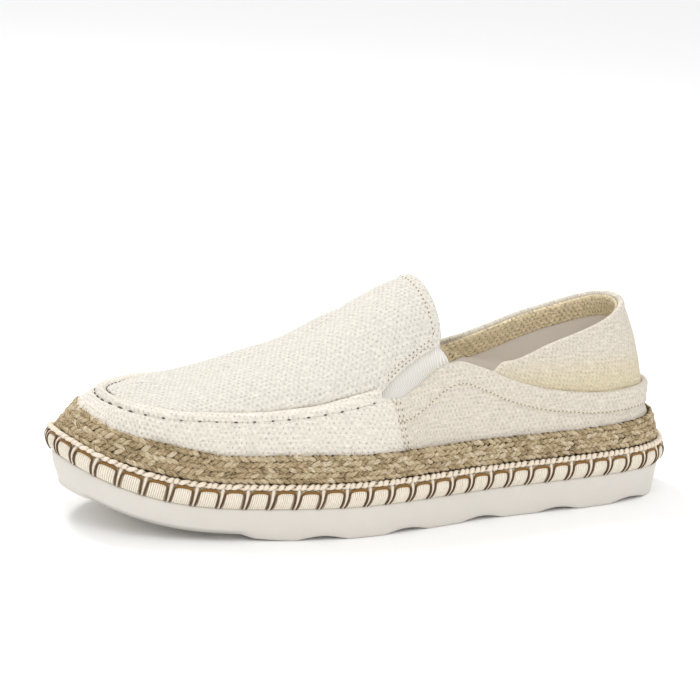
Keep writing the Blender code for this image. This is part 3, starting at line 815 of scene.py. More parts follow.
# %% Sole
SOLE_PROFILE = np.array(
    [
        # inset, height
        (4.8, 0.0),
        (4.1, 0.12),
        (3.6, 0.5),
        (3.3, 1.2),
        (3.0, 2.2),
        (2.7, 3.5),
        (2.35, 5.6),
        (2.0, 8.0),
        (1.65, 11.0),
        (1.4, 13.6),
        (1.5, 14.4),
        (1.9, SOLE_TOP),
        (5.0, SOLE_TOP + 0.1),
    ]
)
walks = even_walks(260)
tip = ramp(plan_at(walks)[:, 0], 250, 40) ** 2
rings = []
for inset, height in SOLE_PROFILE:
    # Under the tip the side is cut back, most of all 3.5 mm up.
    tuck = tip * (0.8 + 1.8 * bell(height - 3.5, 3.5))
    ring = plan_inside(walks, inset + tuck)
    spring_share = np.interp(height, (1.2, 3.5), (0, 1))
    arch_share = np.interp(height, (0, 1.2, 3.5), (1, 0.8, 0))
    rise = spring_share * lift(ring[:, 0]) + (1 - spring_share) * rocker(ring[:, 0])
    rings.append(np.column_stack([ring, height + rise + arch_share * arches(ring[:, 0])]))
sole_side = np.stack(rings)
foot = sole_side[0, :, :2]
under = foot + (spine_of(foot) - foot) * np.array([1, 0.75, 0.45, 0.2, 0.05])[:, None, None]
under = np.concatenate([under, (rocker(under[..., 0]) + arches(under[..., 0]))[..., None]], axis=-1)
sole_points = np.concatenate([under, sole_side])
sole_ids = joined_halves(numbered(sole_points), 0)
sole = add_mesh("foam_sole", sole_points, quads(ringed(sole_ids)), cloth_map(sole_points), eva)

# %% [markdown]
# ## The yarn-wrapped welt
#
# Above the foam runs a 10 mm welt: a core wrapped in blocks of cotton yarn, eight turns to a block, and
# overcast at even pitches with a brown thread that outlines each block. A grid follows the turns, because
# its columns can be slid sideways where the wraps lean, and the relief then never breaks up into steps.

# %% Wrapped blocks
random = np.random.default_rng(12)
PITCHES, TURNS, COLUMNS_EACH = 63, 8, 48
PITCH = GIRTH / PITCHES
BLOCK = (1.75, PITCH - 1.75)
WRAP_FOOT, WRAP_HEIGHT, WRAP_LEAN = 15.0, 9.0, 1.9


def welt_inset(height):
    """How far inside the outline the face lies: a parabola of the height, furthest out at 19 mm."""
    return 1.9 * ((height - 19.0) / 4.2) ** 2 - 0.7


def welt_point(walk, height, proud):
    """A point on the welt's face, which bulges as a parabola of height, and stands `proud` of it."""
    ring = plan_inside(walk, welt_inset(height) - proud)
    return np.concatenate([ring, (height + lift(ring[..., 0]))[..., None]], axis=-1)


def slide(height):
    """The wraps lean: their feet lie further along the walk than their tops."""
    return WRAP_LEAN * (1 - (height - WRAP_FOOT) / WRAP_HEIGHT)


welt_height = np.array(
    [15.0, 15.05, 15.3, 15.8, 16.5, 17.3, 18.2, 19.1, 20.0, 20.8, 21.5, 22.1, 22.6, 23.0, 23.4, 24.2]
)
welt_start = np.linspace(0, GIRTH, PITCHES * COLUMNS_EACH + 1)[:-1]
pitch_number = np.arange(PITCHES).repeat(COLUMNS_EACH)
in_pitch = np.mod(welt_start, PITCH)
pull = random.uniform(-0.22, 0.22, (2, PITCHES))[:, pitch_number]
low, high = BLOCK[0] + pull[0], BLOCK[1] + pull[1]
across = ramp(in_pitch, low, high - low)
on_block = (across > 0) & (across < 1)
crest = np.abs(np.sin(np.pi * TURNS * across)) ** 0.8
swell = (4 * across * (1 - across)) ** 0.35
end_fall = np.interp(welt_height, (15.0, 15.8, 21.8, 22.6, 23.4), (0.35, 1, 1, 0.55, 0.1))[:, None]
proud = end_fall * (0.42 * swell + 0.24 * crest * on_block) - 0.25
# The first and the last row lie 3 mm deep, which closes the face against the sole and the upper.
proud[0] = proud[-1] = -3.0
welt_points = welt_point(welt_start + slide(welt_height)[:, None], welt_height[:, None] + 0 * proud, proud)
welt = add_grid(
    "yarn_welt",
    welt_points,
    cloth_map(welt_points, welt_start),
    closed=True,
    finish=cotton,
    # The crest paints shade in the gaps between turns and between blocks.
    crest=np.broadcast_to(crest * (across > 0), proud.shape),
)

# %% [markdown]
# ### Thread carried along paths
#
# Thread, cord and rope are one thing: a ring of points carried along a path. All the paths of a kind are
# one array, so a single expression makes every stitch. Each end is closed by quads across its last ring.


# %% Tubes
def tube_faces(count, steps, sides, closed=False):
    """Quads of tubes whose points are (count, steps, sides). Quads across its end rings close an open one."""
    ids = np.arange(count * steps * sides).reshape(count, steps, sides)
    across = [(0, k, k + 1, k + 2) for k in range(1, sides - 2, 2)]
    caps = [ids[:, 0][:, cap[::-1]] for cap in across] + [ids[:, -1][:, cap] for cap in across]
    body = quads(ringed(ringed(ids, 1) if closed else ids, 2))[:, ::-1]
    return body if closed else np.concatenate([body, *(cap.reshape(-1, 4) for cap in caps)])


def add_tubes(name, paths, radius, out, sides=6, closed=False, finish=None, **attributes):
    """Round tubes along paths (count, steps, 3), with a radius (count, steps), from each ring's `out` side.

    A ring is the path's point plus radius times (cos a x out + sin a x side), where side is tangent x out.
    """
    if closed:
        tangent = np.roll(paths, -1, axis=1) - np.roll(paths, 1, axis=1)
    else:
        tangent = np.gradient(paths, axis=1)
    tangent /= np.linalg.norm(tangent, axis=-1, keepdims=True)
    side = np.cross(tangent, out)
    side /= np.linalg.norm(side, axis=-1, keepdims=True)
    out = np.cross(side, tangent)
    angle = np.linspace(0, 2 * np.pi, sides, endpoint=False)[:, None]
    radius = np.broadcast_to(radius, paths.shape[:2])[..., None, None]
    spokes = np.cos(angle) * out[:, :, None] + np.sin(angle) * side[:, :, None]
    points = paths[:, :, None] + radius * spokes
    shape = points.shape[:3]
    along = np.broadcast_to(walked(paths, axis=1)[..., None], shape)
    round_it = np.broadcast_to(radius[..., 0] * np.minimum(angle, 2 * np.pi - angle)[:, 0], shape)
    spread = {key: np.broadcast_to(value[..., None], shape) for key, value in attributes.items()}
    uv = np.stack([along, round_it], axis=-1)
    return add_mesh(name, points, tube_faces(*shape, closed), uv, finish, **spread)


def outward_at(walk):
    """The outline's normal as a 3-D vector."""
    flat = plan_outward(walk)
    return np.concatenate([flat, np.zeros((*flat.shape[:-1], 1))], axis=-1)


# %% [markdown]
# ### Brown overcasting
#
# Round each block the brown thread goes up, over in a loose ochre bar and down again, so its path is a
# rounded U upside down whose legs spread a little at the foot. The sine and cosine of a half turn, raised to
# a power below one, square that arch up.

# %% Overcasting
number = np.arange(PITCHES)[:, None]
turn = np.linspace(0, np.pi, 17)
arch_side = -np.sign(np.cos(turn)) * np.abs(np.cos(turn)) ** 0.62
arch_rise = np.abs(np.sin(turn)) ** 0.62
leg_height = np.array([15.1, 16.2, 17.4, 18.6, 19.6])
u_height = np.concatenate([leg_height, 20.4 + 2.2 * arch_rise, leg_height[::-1]])
u_side = np.concatenate([-np.ones(5), arch_side, np.ones(5)])
spread = np.interp(u_height, (15.1, 20.4, 23), (4.5, 4.15, 4.0))
middle = (number + 0.5) * PITCH + random.uniform(-0.15, 0.15, (PITCHES, 1))
u_height = u_height + random.uniform(-0.15, 0.15, (PITCHES, 1)) * (u_height > 20)
u_walk = middle + u_side * (spread + random.uniform(-0.12, 0.12, (PITCHES, 1))) + slide(u_height)
bar = ramp(u_height, 21.2, 1.2)
u_proud = np.interp(u_height, (15.1, 15.8, 21.0, 23.0), (-0.1, 0.18, 0.3, 0.45)) + 0 * u_walk
overcast = add_tubes(
    "brown_overcast",
    welt_point(u_walk, u_height, u_proud),
    0.45 + 0.22 * bar,
    outward_at(u_walk),
    finish=brown_thread,
    bar=bar,
)

# %% [markdown]
# ### Cream cords
#
# Between the legs of two neighbouring blocks lies a soft cream cord, thicker at the top where it is free.

# %% Cords
cord_height = np.linspace(15.1, 24.0, 9) + 0 * number
cord_walk = number * PITCH + slide(cord_height) + random.uniform(-0.1, 0.1, (PITCHES, 1))
cord_radius = np.interp(cord_height, (15.1, 19, 22, 24), (0.42, 0.62, 0.85, 0.95))
cords = add_tubes(
    "cream_cords",
    welt_point(cord_walk, cord_height, -0.15 + 0 * cord_walk),
    cord_radius,
    outward_at(cord_walk),
    finish=cord_cotton,
    crest=1 + 0 * cord_walk,
)

# %% [markdown]
# ### The rope edge
#
# A rope of two plies finishes the top. Each ply winds round the middle of the rope, half a turn behind the
# other, and is thicker on its outer side. Two slow sines make the twist uneven, as a hand-laid rope is.

# %% Rope
ROPE_TURNS, ROPE_HEIGHT = 108, 24.4
rope_walk = np.linspace(0, GIRTH, PITCHES * 24 + 1)[:-1][None]
uneven = 0.7 * np.sin(rope_walk * 0.31) + 0.5 * np.sin(rope_walk * 0.83)
twist = rope_walk + uneven * np.sin(np.pi * rope_walk / GIRTH)
ply_turn = 2 * np.pi * ROPE_TURNS * twist / GIRTH + np.array([[0], [np.pi]])
rope_walk = rope_walk + 0 * ply_turn
lumps = np.sin(rope_walk * 1.7) * np.sin(rope_walk * 0.53)
rope_radius = 0.52 + 0.58 * np.clip(np.sin(ply_turn + 0.3), 0, 1) + 0.1 * lumps
rope = add_tubes(
    "rope_edge",
    welt_point(
        rope_walk,
        ROPE_HEIGHT + 0.55 * np.cos(ply_turn),
        -1.25 + 0.5 * np.sin(ply_turn) + welt_inset(ROPE_HEIGHT),
    ),
    rope_radius,
    outward_at(rope_walk),
    sides=8,
    closed=True,
    finish=cord_cotton,
    # The crest paints shade on each ply where it turns in against the other.
    crest=0.55 + 0.45 * np.sin(ply_turn),
)

# %% [markdown]
# ## The jute braid
#
# A flat plait of jute leans on the foot of the upper. Seen from outside it is five rows of short floats
# that slope up in one row and down in the next. A float is a lens: a tube that swells in the middle and
# dives at both ends. They are copied from one lens by broadcasting, with a little chance in length, slope
# and shade, and laid over a dark backing.


# %% Braid
def braid_edges(walk):
    """Foot and top of the braid. The top climbs on the inner side of the toe, by a bell curve of the walk."""
    low, high, band = side_lines(walk)[:3]
    climb = 0.33 * bell(walk - TOE_WALK - 20.0, 19.0)
    swell = 3.0 * np.pad(plan_outward(walk), ((0, 0), (0, 1)))
    return low, high + (band - high + swell) * climb[:, None]


def braid_place(walk, share):
    """Points on the skin behind the braid at a share of its height, and the directions along, up and out."""
    low, high = braid_edges(walk)
    outward = plan_outward(walk)
    slope = high - low
    face = np.column_stack([outward * slope[:, 2:], -np.sum(slope[:, :2] * outward, axis=1)])
    face /= np.linalg.norm(face, axis=1, keepdims=True)
    up = slope / np.linalg.norm(slope, axis=1, keepdims=True)
    return low + slope * share[:, None], np.cross(face, up) * -1, up, face


def braid_thickness(share):
    """3.3 mm at the foot, thinning by 1.5 mm as the square of the share of the height."""
    return 3.3 - 1.5 * share**2


backing_walk = even_walks(180)
rows = []
for share in np.linspace(0, 1, 7):
    point, _, _, face = braid_place(backing_walk, np.full(len(backing_walk), share))
    rows.append(point + face * (braid_thickness(share) - 1.3))
back_rows = np.stack(braid_edges(backing_walk))[::-1]
backing_points = np.concatenate([np.stack(rows), back_rows, rows[0][None]])
# The backing's tone of -1 is painted shade behind the floats.
backing = add_grid(
    "braid_backing",
    backing_points,
    cloth_map(backing_points),
    closed=True,
    finish=jute,
    shade=np.full(backing_points.shape[:2], -1.0),
)

# %% [markdown]
# ### The floats
#
# A lens has seven rings of six points, and 1155 of them make the plait. Its three sizes are half a length,
# half a width and half a thickness. The ends are darkened by a sixth power of the place along the float:
# painted shade, where they dive under the next one.

# %% Floats
BRAID_ROWS, FLOATS, FLOAT_SLOPE = 5, 231, 28.0
HALF_LONG, HALF_WIDE, HALF_THICK = 2.9, 1.16, 1.1
FLOAT_PITCH = GIRTH / FLOATS
MEAN_HEIGHT = 12.4
position = np.linspace(-1, 1, 7)[:, None]
around = np.linspace(0, 2 * np.pi, 6, endpoint=False)
thick = np.sqrt(np.clip(1 - np.abs(position) ** 3, 0.06, 1))
lens_shape = np.stack(
    [
        position + 0 * around,
        thick * np.cos(around),
        0.8 * thick * np.sin(around) - 0.8 * position**2,
    ],
    axis=-1,
)
row, turn = np.divmod(np.arange(BRAID_ROWS * FLOATS), FLOATS)
count = len(row)
float_walk = (turn + 0.5 * (row % 2) + random.uniform(-0.13, 0.13, count)) * FLOAT_PITCH
share = (row + 0.5) / BRAID_ROWS + random.uniform(-0.02, 0.02, count)
point, along, up, face = braid_place(float_walk, share)
stretch = np.linalg.norm(np.diff(braid_edges(float_walk), axis=0)[0], axis=1) / MEAN_HEIGHT
up = up * stretch[:, None]
lean = np.radians(FLOAT_SLOPE + random.uniform(-6, 6, count)) * np.where(row % 2, 1, -1)
lengthwise = along * np.cos(lean)[:, None] + up * np.sin(lean)[:, None]
crosswise = up * np.cos(lean)[:, None] - along * np.sin(lean)[:, None]
centre = point + face * (braid_thickness(share) - 0.35 + random.uniform(-0.15, 0.2, count))[:, None]
half_long = HALF_LONG + random.uniform(-0.3, 0.35, count)
half_wide = HALF_WIDE + random.uniform(-0.14, 0.14, count)
size = np.stack([half_long, half_wide, np.full(count, HALF_THICK)], axis=-1)
local = lens_shape[None] * size[:, None, None]
axes = np.stack([lengthwise, crosswise, face], axis=1)
float_points = centre[:, None, None] + np.einsum("nsri,nid->nsrd", local, axes)
# Each float reads its own stretch of the fibre pattern.
apart = np.stack([7.3 * np.arange(count), 3.1 * row], axis=-1)[:, None, None]
# Each float's chance tone, less painted shade at the ends, where they dive under the next float.
float_shade = random.uniform(0.1, 1, count)[:, None, None] - 1.1 * lens_shape[None, ..., 0] ** 6
floats = add_mesh(
    "jute_floats",
    float_points,
    tube_faces(count, *lens_shape.shape[:2]),
    local[..., :2] + apart,
    jute,
    shade=np.broadcast_to(float_shade, float_points.shape[:3]),
)

# %% [markdown]
# ### Stray fibres
#
# Jute sheds. A few hundred fibres, each an arc that starts in the plait and curls away by chance, soften
# the line between jute and canvas. Real ones are 0.05 mm thick and would vanish, so these are four times
# as thick.

# %% Hairs
HAIRS, HAIR_RADIUS = 460, 0.11
hair_walk = random.uniform(0, GIRTH, HAIRS)
hair_share = 1 - 0.9 * random.uniform(0, 1, HAIRS) ** 3
point, along, up, face = braid_place(hair_walk, hair_share)
along_hair = np.linspace(0, 1, 5)
hair_turn = random.uniform(0, 2 * np.pi, (HAIRS, 1))
hair_turn = hair_turn + random.uniform(-1.6, 1.6, (HAIRS, 1)) * along_hair
hair_step = random.uniform(0.4, 1.2, (HAIRS, 1)) * (along_hair > 0)
hair_along = np.cumsum(np.cos(hair_turn) * hair_step, axis=1)[..., None]
hair_up = np.cumsum(np.sin(hair_turn) * hair_step, axis=1)[..., None]
hair_out = braid_thickness(hair_share)[:, None] + 0.3
hair_out = (hair_out + random.uniform(-0.2, 0.9, (HAIRS, 1)) * along_hair)[..., None]
hair_path = point[:, None] + along[:, None] * hair_along + up[:, None] * hair_up + face[:, None] * hair_out
hairs = add_tubes(
    "jute_hairs",
    hair_path,
    HAIR_RADIUS * np.array([1, 1, 0.9, 0.7, 0.3]),
    np.broadcast_to(face[:, None], hair_path.shape),
    sides=4,
    finish=jute,
    shade=np.broadcast_to(random.uniform(0.2, 1.2, (HAIRS, 1)), hair_path.shape[:2]),
)

# %% [markdown]
# ## How cloth lies
#
# Four small formulas make a smooth skin into cloth: a sum of a few long sine waves, because hand-pulled
# canvas never lies even, the groove that a seam pulls, the quarter circle of a turned edge, and the step
# along the normals that puts them on a grid.


# %% Cloth helpers
def unevenness(points, amount, length=22.0):
    """How far hand-pulled cloth strays: five sine waves in chance directions, about `length` mm long."""
    chance = np.random.default_rng(7)
    total = 0
    for _ in range(5):
        way = chance.normal(size=3)
        way /= np.linalg.norm(way) * length * chance.uniform(0.6, 1.1) / (2 * np.pi)
        total = total + np.sin(points @ way + chance.uniform(0, 6))
    return amount * total / 5


def groove(distance, width, depth):
    """A seam's pull on the cloth: a bell curve of the distance from it."""
    return -depth * bell(distance, width)


def soft_edge(distance, radius):
    """A quarter circle: how far the cloth has risen at this distance from its edge."""
    return radius * np.sqrt(1 - (1 - np.clip(distance / radius, 0, 1)) ** 2)


def raised(points, normals, height):
    """A grid moved along its normals by a height for each point."""
    return points + normals * np.asarray(height)[..., None]


# %% [markdown]
# ## The canvas wall of the toe
#
# The vamp is one strip of canvas from side seam to side seam. Its upper edge is gathered into the moccasin
# roll, a padded cord between two seams, and goes on a little way over the apron. The columns are paths up
# the skin and over its edge, read at even steps so that the weave is not stretched.

# %% Toe wall
FLAP_LOW = np.array(
    [
        # station, share of the apron that the roll or the free edge takes
        (129, 0.145),
        (137, 0.168),
        (145.5, 0.148),
        (154, 0.118),
        (158.5, 0.085),
        (162.0, 0.04),
        (163.3, 0.05),
        (164.5, 0.105),
        (174.5, 0.09),
        (180, 0.075),
        (190, 0.06),
        (208, 0.055),
        (218, 0.04),
        (228, 0.03),
        (240, 0.0),
    ]
)
BAND_ROW, EDGE_ROW = 27, 40
CANVAS_THICK = 1.8
toe_column = np.linspace(18.0, 54.0, 560)
toe_up = np.concatenate([np.linspace(0, 2.0, BAND_ROW + 1), np.linspace(2.0, 3.0, 25)[1:]])
toe_station = plan_at(walk_of(toe_column))[:, 0]
toe_low = np.interp(np.maximum(toe_station, 164.5), *FLAP_LOW.T)
path_up = np.linspace(0, 3, 61)
toe_path = wall(toe_column, path_up)
to_edge = walked(toe_path)
over_edge = apron_at(toe_column, np.linspace(0, 1, 9)[1:, None] * (toe_low + 1e-4))
beyond = walked(np.concatenate([toe_path[-1:], over_edge]))[-1]
toe_path = np.concatenate([toe_path, over_edge])
to_band = to_edge[EDGE_ROW]
row_length = rows_at(to_edge, toe_up / 3)
stretch = 1 + beyond / (to_edge[-1] - to_band)
rolled = to_band + (row_length - to_band) * stretch
toe_skin = read_paths(toe_path, np.where(toe_up[:, None] > 2, rolled, row_length))
toe_normal = normals_of(toe_skin)

# %% [markdown]
# ### The roll
#
# The gathered cloth puffs out between the sole and the roll, as half a sine of the way up and most of all
# on the inner side of the toe. It swells again into the roll, between its two seams. Both fade out at the
# side seams.

# %% Roll
roll_share = eased(ramp(toe_station, SEAM_STATION, 12.0))
toe_height = walked(toe_skin)
roll_swell = np.sin(np.pi * ramp(toe_up, 2, 1))[:, None] ** 0.75 * (1.45 - 0.7 * ramp(toe_column, 41, 5))
puff = np.sin(np.pi * ramp(toe_up, 0, 2))[:, None] * (0.5 + 1.7 * bell(toe_column - 38.5, 5.0))
outer_pull = groove(toe_height - toe_height[BAND_ROW], 0.75, 0.75)
inner_pull = groove(toe_height - toe_height[-1], 0.9, 0.8)
rise = (roll_swell + outer_pull + inner_pull + puff) * roll_share + unevenness(toe_skin, 0.35)
toe_outer = raised(toe_skin, toe_normal, rise)
toe_inner = raised(toe_skin, toe_normal, -CANVAS_THICK)
toe_map = cloth_map(toe_skin, walk_of(toe_column))
toe_wall = add_slab("toe_wall", toe_outer, toe_inner, toe_map, canvas)

# %% [markdown]
# ## Apron and flap
#
# The apron covers the instep and ends as a free flap over the elastic, hemmed all round. It is the Bezier
# sheet of the last with a wall: at its edges the outer and the inner skin meet in a quarter circle. The
# flap's corner is rounded by the map that turns a square into a disc, x times the root of 1 - y*y/2,
# applied to the distances from its two edges.


# %% Apron
# The corner's radius, the cloth from the low edge to the crown, and the cloth in one column, all in mm.
CORNER, UP_MM, COLUMN_MM = 6.5, 52.0, 8.6
start = np.array([0, 0.08, 0.25, 0.5, 0.8, 1.2, 1.7, 2.3, 3.0, 3.8, 4.6, 5.4, 6.2, 7.0, 8.0])
rear_columns = MOUTH + start / COLUMN_MM
flap_column = np.concatenate([rear_columns[:-1], np.linspace(rear_columns[-1], TOE, 170)])
flap_column = np.concatenate([flap_column, COLUMNS - flap_column[-2::-1]])
flap_station = plan_at(walk_of(flap_column))[:, 0]
flap_low = np.interp(flap_station, *FLAP_LOW.T)
flap_up = np.concatenate([start[:-1] / UP_MM, np.linspace(start[-1] / UP_MM, 1, 70)])
from_low = flap_up[:, None] * UP_MM + 0 * flap_column
from_rear = (TOE - MOUTH - np.abs(flap_column - TOE)) * COLUMN_MM + 0 * from_low
# How deep in the square at the corner each point lies, from either edge of the cloth.
p, q = np.clip(1 - from_low / CORNER, 0, 1), np.clip(1 - from_rear / CORNER, 0, 1)
rounded_low = np.where(q > 0, CORNER * (1 - p * np.sqrt(1 - q * q / 2)), from_low)
rounded_low = np.where(from_low > CORNER, from_low, rounded_low)
rounded_rear = np.where((p > 0) & (q > 0), CORNER * (1 - q * np.sqrt(1 - p * p / 2)), from_rear)
inwards = np.sign(TOE - flap_column)
column_shift = (rounded_rear - from_rear) / COLUMN_MM * inwards


def apron_points(columns, ups):
    """The apron's skin at any columns and shares, read between the four nearest points of a fine grid."""
    fine = np.linspace(MOUTH, COLUMNS - MOUTH, 921)
    shares = np.linspace(0, 1, 161)
    table = apron_at(fine, shares)
    x = np.clip((columns - fine[0]) / (fine[1] - fine[0]), 0, len(fine) - 1.0001)
    y = np.clip(ups / (shares[1] - shares[0]), 0, len(shares) - 1.0001)
    i, j = x.astype(int), y.astype(int)
    x, y = (x - i)[..., None], (y - j)[..., None]
    lower = table[j, i] * (1 - x) + table[j, i + 1] * x
    upper = table[j + 1, i] * (1 - x) + table[j + 1, i + 1] * x
    return lower * (1 - y) + upper * y


def flap_draw(low_mm, rear_mm):
    """Columns by which the back of the flap is drawn forwards towards the crown, none from 60 mm on."""
    return 0.62 * np.clip(low_mm / UP_MM, 0, 1) ** 1.5 * np.clip(1 - rear_mm / 60.0, 0, 1) ** 2


share_up = flap_low + (1 - flap_low) * rounded_low / UP_MM
column_shift = column_shift + flap_draw(rounded_low, rounded_rear) * inwards
flap_skin = apron_points(flap_column + column_shift, share_up)
flap_normal = normals_of(flap_skin)
flap_normal[-1] = flap_normal[-1] + flap_normal[-1, ::-1]
flap_normal[-1] /= np.linalg.norm(flap_normal[-1], axis=-1, keepdims=True)
middle = len(flap_column) // 2
flap_normal[-3:, middle - 6 : middle + 7] = flap_normal[-4, middle]

# %% [markdown]
# ### The hem of the flap and its mesh
#
# The cloth's height over the skin depends on its distance from the edge, walked along the rows and up the
# columns. The two halves meet along the crown and share its vertices, so that no seam shows there.

# %% Hem and apron
up_length = walked(flap_skin)
along_length = walked(flap_skin, axis=1)
rear_length = np.minimum(along_length, along_length[:, -1:] - along_length)
edge_length = np.minimum(up_length, rear_length)
HEM_WIDE, HEM_THICK = 6.6, 0.35
on_flap = ramp(flap_station, 176, -12)
hem = HEM_THICK * ramp(edge_length, HEM_WIDE, -0.8) * np.maximum(on_flap, rear_length < 7)
flap_rise = soft_edge(edge_length, 1.3) - 1.3 + unevenness(flap_skin, 0.4, 30.0)
flap_rise = flap_rise + groove(edge_length - 3.0, 0.5, 0.22) * on_flap
flap_outer = raised(flap_skin, flap_normal, flap_rise + hem * (edge_length > 0))
flap_inner = raised(flap_skin, flap_normal, -soft_edge(edge_length, 1.1) - 1.3)
crown_line = flap_skin[-1, : middle + 1]
crown_side = np.interp(flap_skin[..., 0], crown_line[:, 0], crown_line[:, 1])
crown_top = np.interp(flap_skin[..., 0], crown_line[:, 0], crown_line[:, 2])
sideways = flap_skin[..., 1] - crown_side
drop = (flap_skin[..., 2] - crown_top) * np.clip(np.abs(sideways) / 10, 0, 1)
apron_map = np.stack([flap_skin[..., 0] * 1.06, np.sign(sideways) * np.hypot(sideways, drop)], axis=-1)


def add_apron(name, outer, inner, uv, finish, inner_finish):
    """A slab whose upper rows are joined along the crown, as both halves of the apron meet there."""
    front = joined_halves(numbered(outer), -1)
    count = front.size
    rim = np.concatenate([front[::-1, 0], front[0, 1:], front[1:, -1]])
    parts = [quads(front), quads(np.stack([rim + count, rim])), quads(front[:, ::-1] + count)]
    points = np.concatenate([outer.reshape(-1, 3), inner.reshape(-1, 3)])
    made = add_mesh(name, points, np.concatenate(parts), np.concatenate([uv.reshape(-1, 2)] * 2), finish)
    made.data.materials.append(inner_finish)
    finishes = np.repeat([0, 0, 1], [len(part) for part in parts]).astype(np.int32)
    made.data.polygons.foreach_set("material_index", finishes)
    return made


apron = add_apron("apron", flap_outer, flap_inner, apron_map, shaded_apron_cloth, lining_cloth)

# %% [markdown]
# ## Elastic gores
#
# Under each side of the flap a triangle of white ribbed elastic joins it to the quarter, and lets the
# opening stretch. It hangs about 3 mm under the skin, runs down behind the quarter and up behind the flap,
# and its rear end is cut straight.


# %% Gores
GORE_DEPTH, GORE_THICK, GORE_SAG = 2.7, 1.0, 0.5


def make_gore(name, columns):
    """A strip from inside the quarter to under the flap, whose rear end is carried on straight.

    It hangs under the skin by its depth and a sag, half a sine of the share of the way up.
    """
    station = plan_at(walk_of(columns))[:, 0]
    top = np.interp(station, (129, 138, 146, 156, 163), (0.28, 0.28, 0.25, 0.2, 0.15))
    low = wall(columns, np.linspace(1.6, 3.0, 14)[:-1])
    high = apron_at(columns, np.linspace(0, 1, 30)[:, None] * top)
    skin = np.concatenate([low, high])
    at_start = columns[0] < TOE
    ends = skin[:, [0, 6]] if at_start else skin[:, [-1, -7]]
    back = ends[:, 0] - ends[:, 1]
    back /= np.linalg.norm(back, axis=-1, keepdims=True)
    reach = np.interp(np.arange(len(skin)), (0, 13, 28, len(skin) - 1), (8.5, 7.2, 1.0, 0.2))
    extra = ends[:, :1] + (back * reach[:, None])[:, None] * np.linspace(1, 0, 9)[None, :-1, None]
    skin = np.concatenate([extra, skin] if at_start else [skin, extra[:, ::-1]], axis=1)
    normal = normals_of(skin)
    depth = GORE_DEPTH + GORE_SAG * np.sin(np.pi * np.linspace(0, 1, len(skin)))[:, None]
    outer, inner = raised(skin, normal, -depth), raised(skin, normal, -depth - GORE_THICK)
    return add_slab(name, outer, inner, cloth_map(skin), elastic)


gores = [
    make_gore("gore_outer", np.linspace(MOUTH, SEAM, 80)),
    make_gore("gore_inner", np.linspace(COLUMNS - SEAM, COLUMNS - MOUTH, 80)),
]

# %% [markdown]
# ## The quarter
#
# The quarter wraps the heel from seam to seam. Its top is folded over and stitched about 10 mm down, so the
# band above the stitches is double and stands 0.6 mm proud. The fold itself is a quarter circle outside
# and inside.

# %% Quarter
QUARTER_END, QUARTER_INSIDE = 18.8, 1.5
quarter_column = np.linspace(-QUARTER_END, QUARTER_END, 700)
quarter_rows = ((0, 2.0, 22), (2.0, 2.86, 26), (2.86, 3, 16))
quarter_up = np.concatenate([np.linspace(low, high, rows)[:-1] for low, high, rows in quarter_rows] + [[3]])
quarter_station = plan_at(walk_of(quarter_column))[:, 0]
quarter_path = wall(quarter_column, path_up)
to_top = walked(quarter_path)
lowered = 1 - np.interp(quarter_station, (126, 137, 147, 154, 163), (0, 1.8, 2.8, 3.8, 3.4)) / to_top[-1]
quarter_skin = read_paths(quarter_path, rows_at(to_top, quarter_up / 3) * lowered)
quarter_normal = normals_of(quarter_skin)
up_skin = walked(quarter_skin)
below = up_skin[-1] - up_skin
quarter_ends = walk_of(QUARTER_END) - np.abs(walk_of(quarter_column))
fold_at = np.interp(quarter_station, (60, 130, 160), (10.0, 11.4, 12.4))
fold = 0.6 * ramp(below, fold_at + 1.1, -0.6) + groove(below - fold_at, 0.6, 0.5)
ripple = unevenness(quarter_skin, 0.4, 18.0) * ramp(below, 0, 6)
quarter_rise = soft_edge(below, 1.5) - 1.5 + fold + ripple - np.clip(0.6 - quarter_ends, 0, 0.6)
quarter_rise = quarter_rise + groove(quarter_ends - 2.2, 0.6, 0.3)
quarter_outer = raised(quarter_skin, quarter_normal, quarter_rise)
quarter_inner = raised(quarter_skin, quarter_normal, -soft_edge(below, 0.9) - QUARTER_INSIDE)
quarter_map = cloth_map(quarter_skin, walk_of(quarter_column))
quarter = add_slab("quarter_panel", quarter_outer, quarter_inner, quarter_map, shaded_quarter_cloth)

# %% [markdown]
# ## The soft heel
#
# Inside the quarter stands a soft heel that can be trodden flat. It leans forward to a rim rolled over a
# cord. Its grid starts behind the quarter, follows the wall to the edge line and goes on up the leaning
# strip.


# %% Soft heel
def plugged(columns):
    """1 behind the notch, easing to 0 in front of it, where quarter and binding close on each other."""
    return eased(ramp(np.abs(columns), NOTCH + 2.6, -2.6))


HIDDEN_ROWS = 13
heel_column = np.linspace(-12.5, 12.5, 440)
behind_quarter = wall(heel_column, np.linspace(2.2, 3, HIDDEN_ROWS + 1)[:-1])
heel_path = np.concatenate([behind_quarter, heel_at(heel_column, np.linspace(0, 1, 40))])
up_path = walked(heel_path)
below = np.linspace(1, 0, 60)[:, None] ** 1.5 * up_path[-1]
heel_skin = read_paths(heel_path, up_path[-1] - below)
strip = up_path[-1] - up_path[HIDDEN_ROWS]
heel_share = np.clip((strip - below) / np.maximum(strip, 1), 0, 1)
heel_normal = normals_of(heel_skin)
heel_end = ramp(np.abs(heel_column), 8.4, 0.9)
heel_normal = heel_normal + (heel_normal[10] - heel_normal) * heel_end[:, None]
heel_middle = -2.4 - (1.4 + 0.5 * heel_end) * plugged(heel_column) + 0.9 * heel_share * (1 - heel_end)
heel_half = soft_edge(below, 1.4) * plugged(heel_column)
pucker = unevenness(heel_skin, 0.7, 26.0) * ramp(below, 0, 8) * (1 - heel_end)
rim_roll = (0.35 * bell(below - 1.6, 1.6) + groove(below - 4.6, 0.7, 0.35)) * (1 - heel_end)
heel_outer = raised(heel_skin, heel_normal, heel_middle + heel_half + rim_roll + pucker)
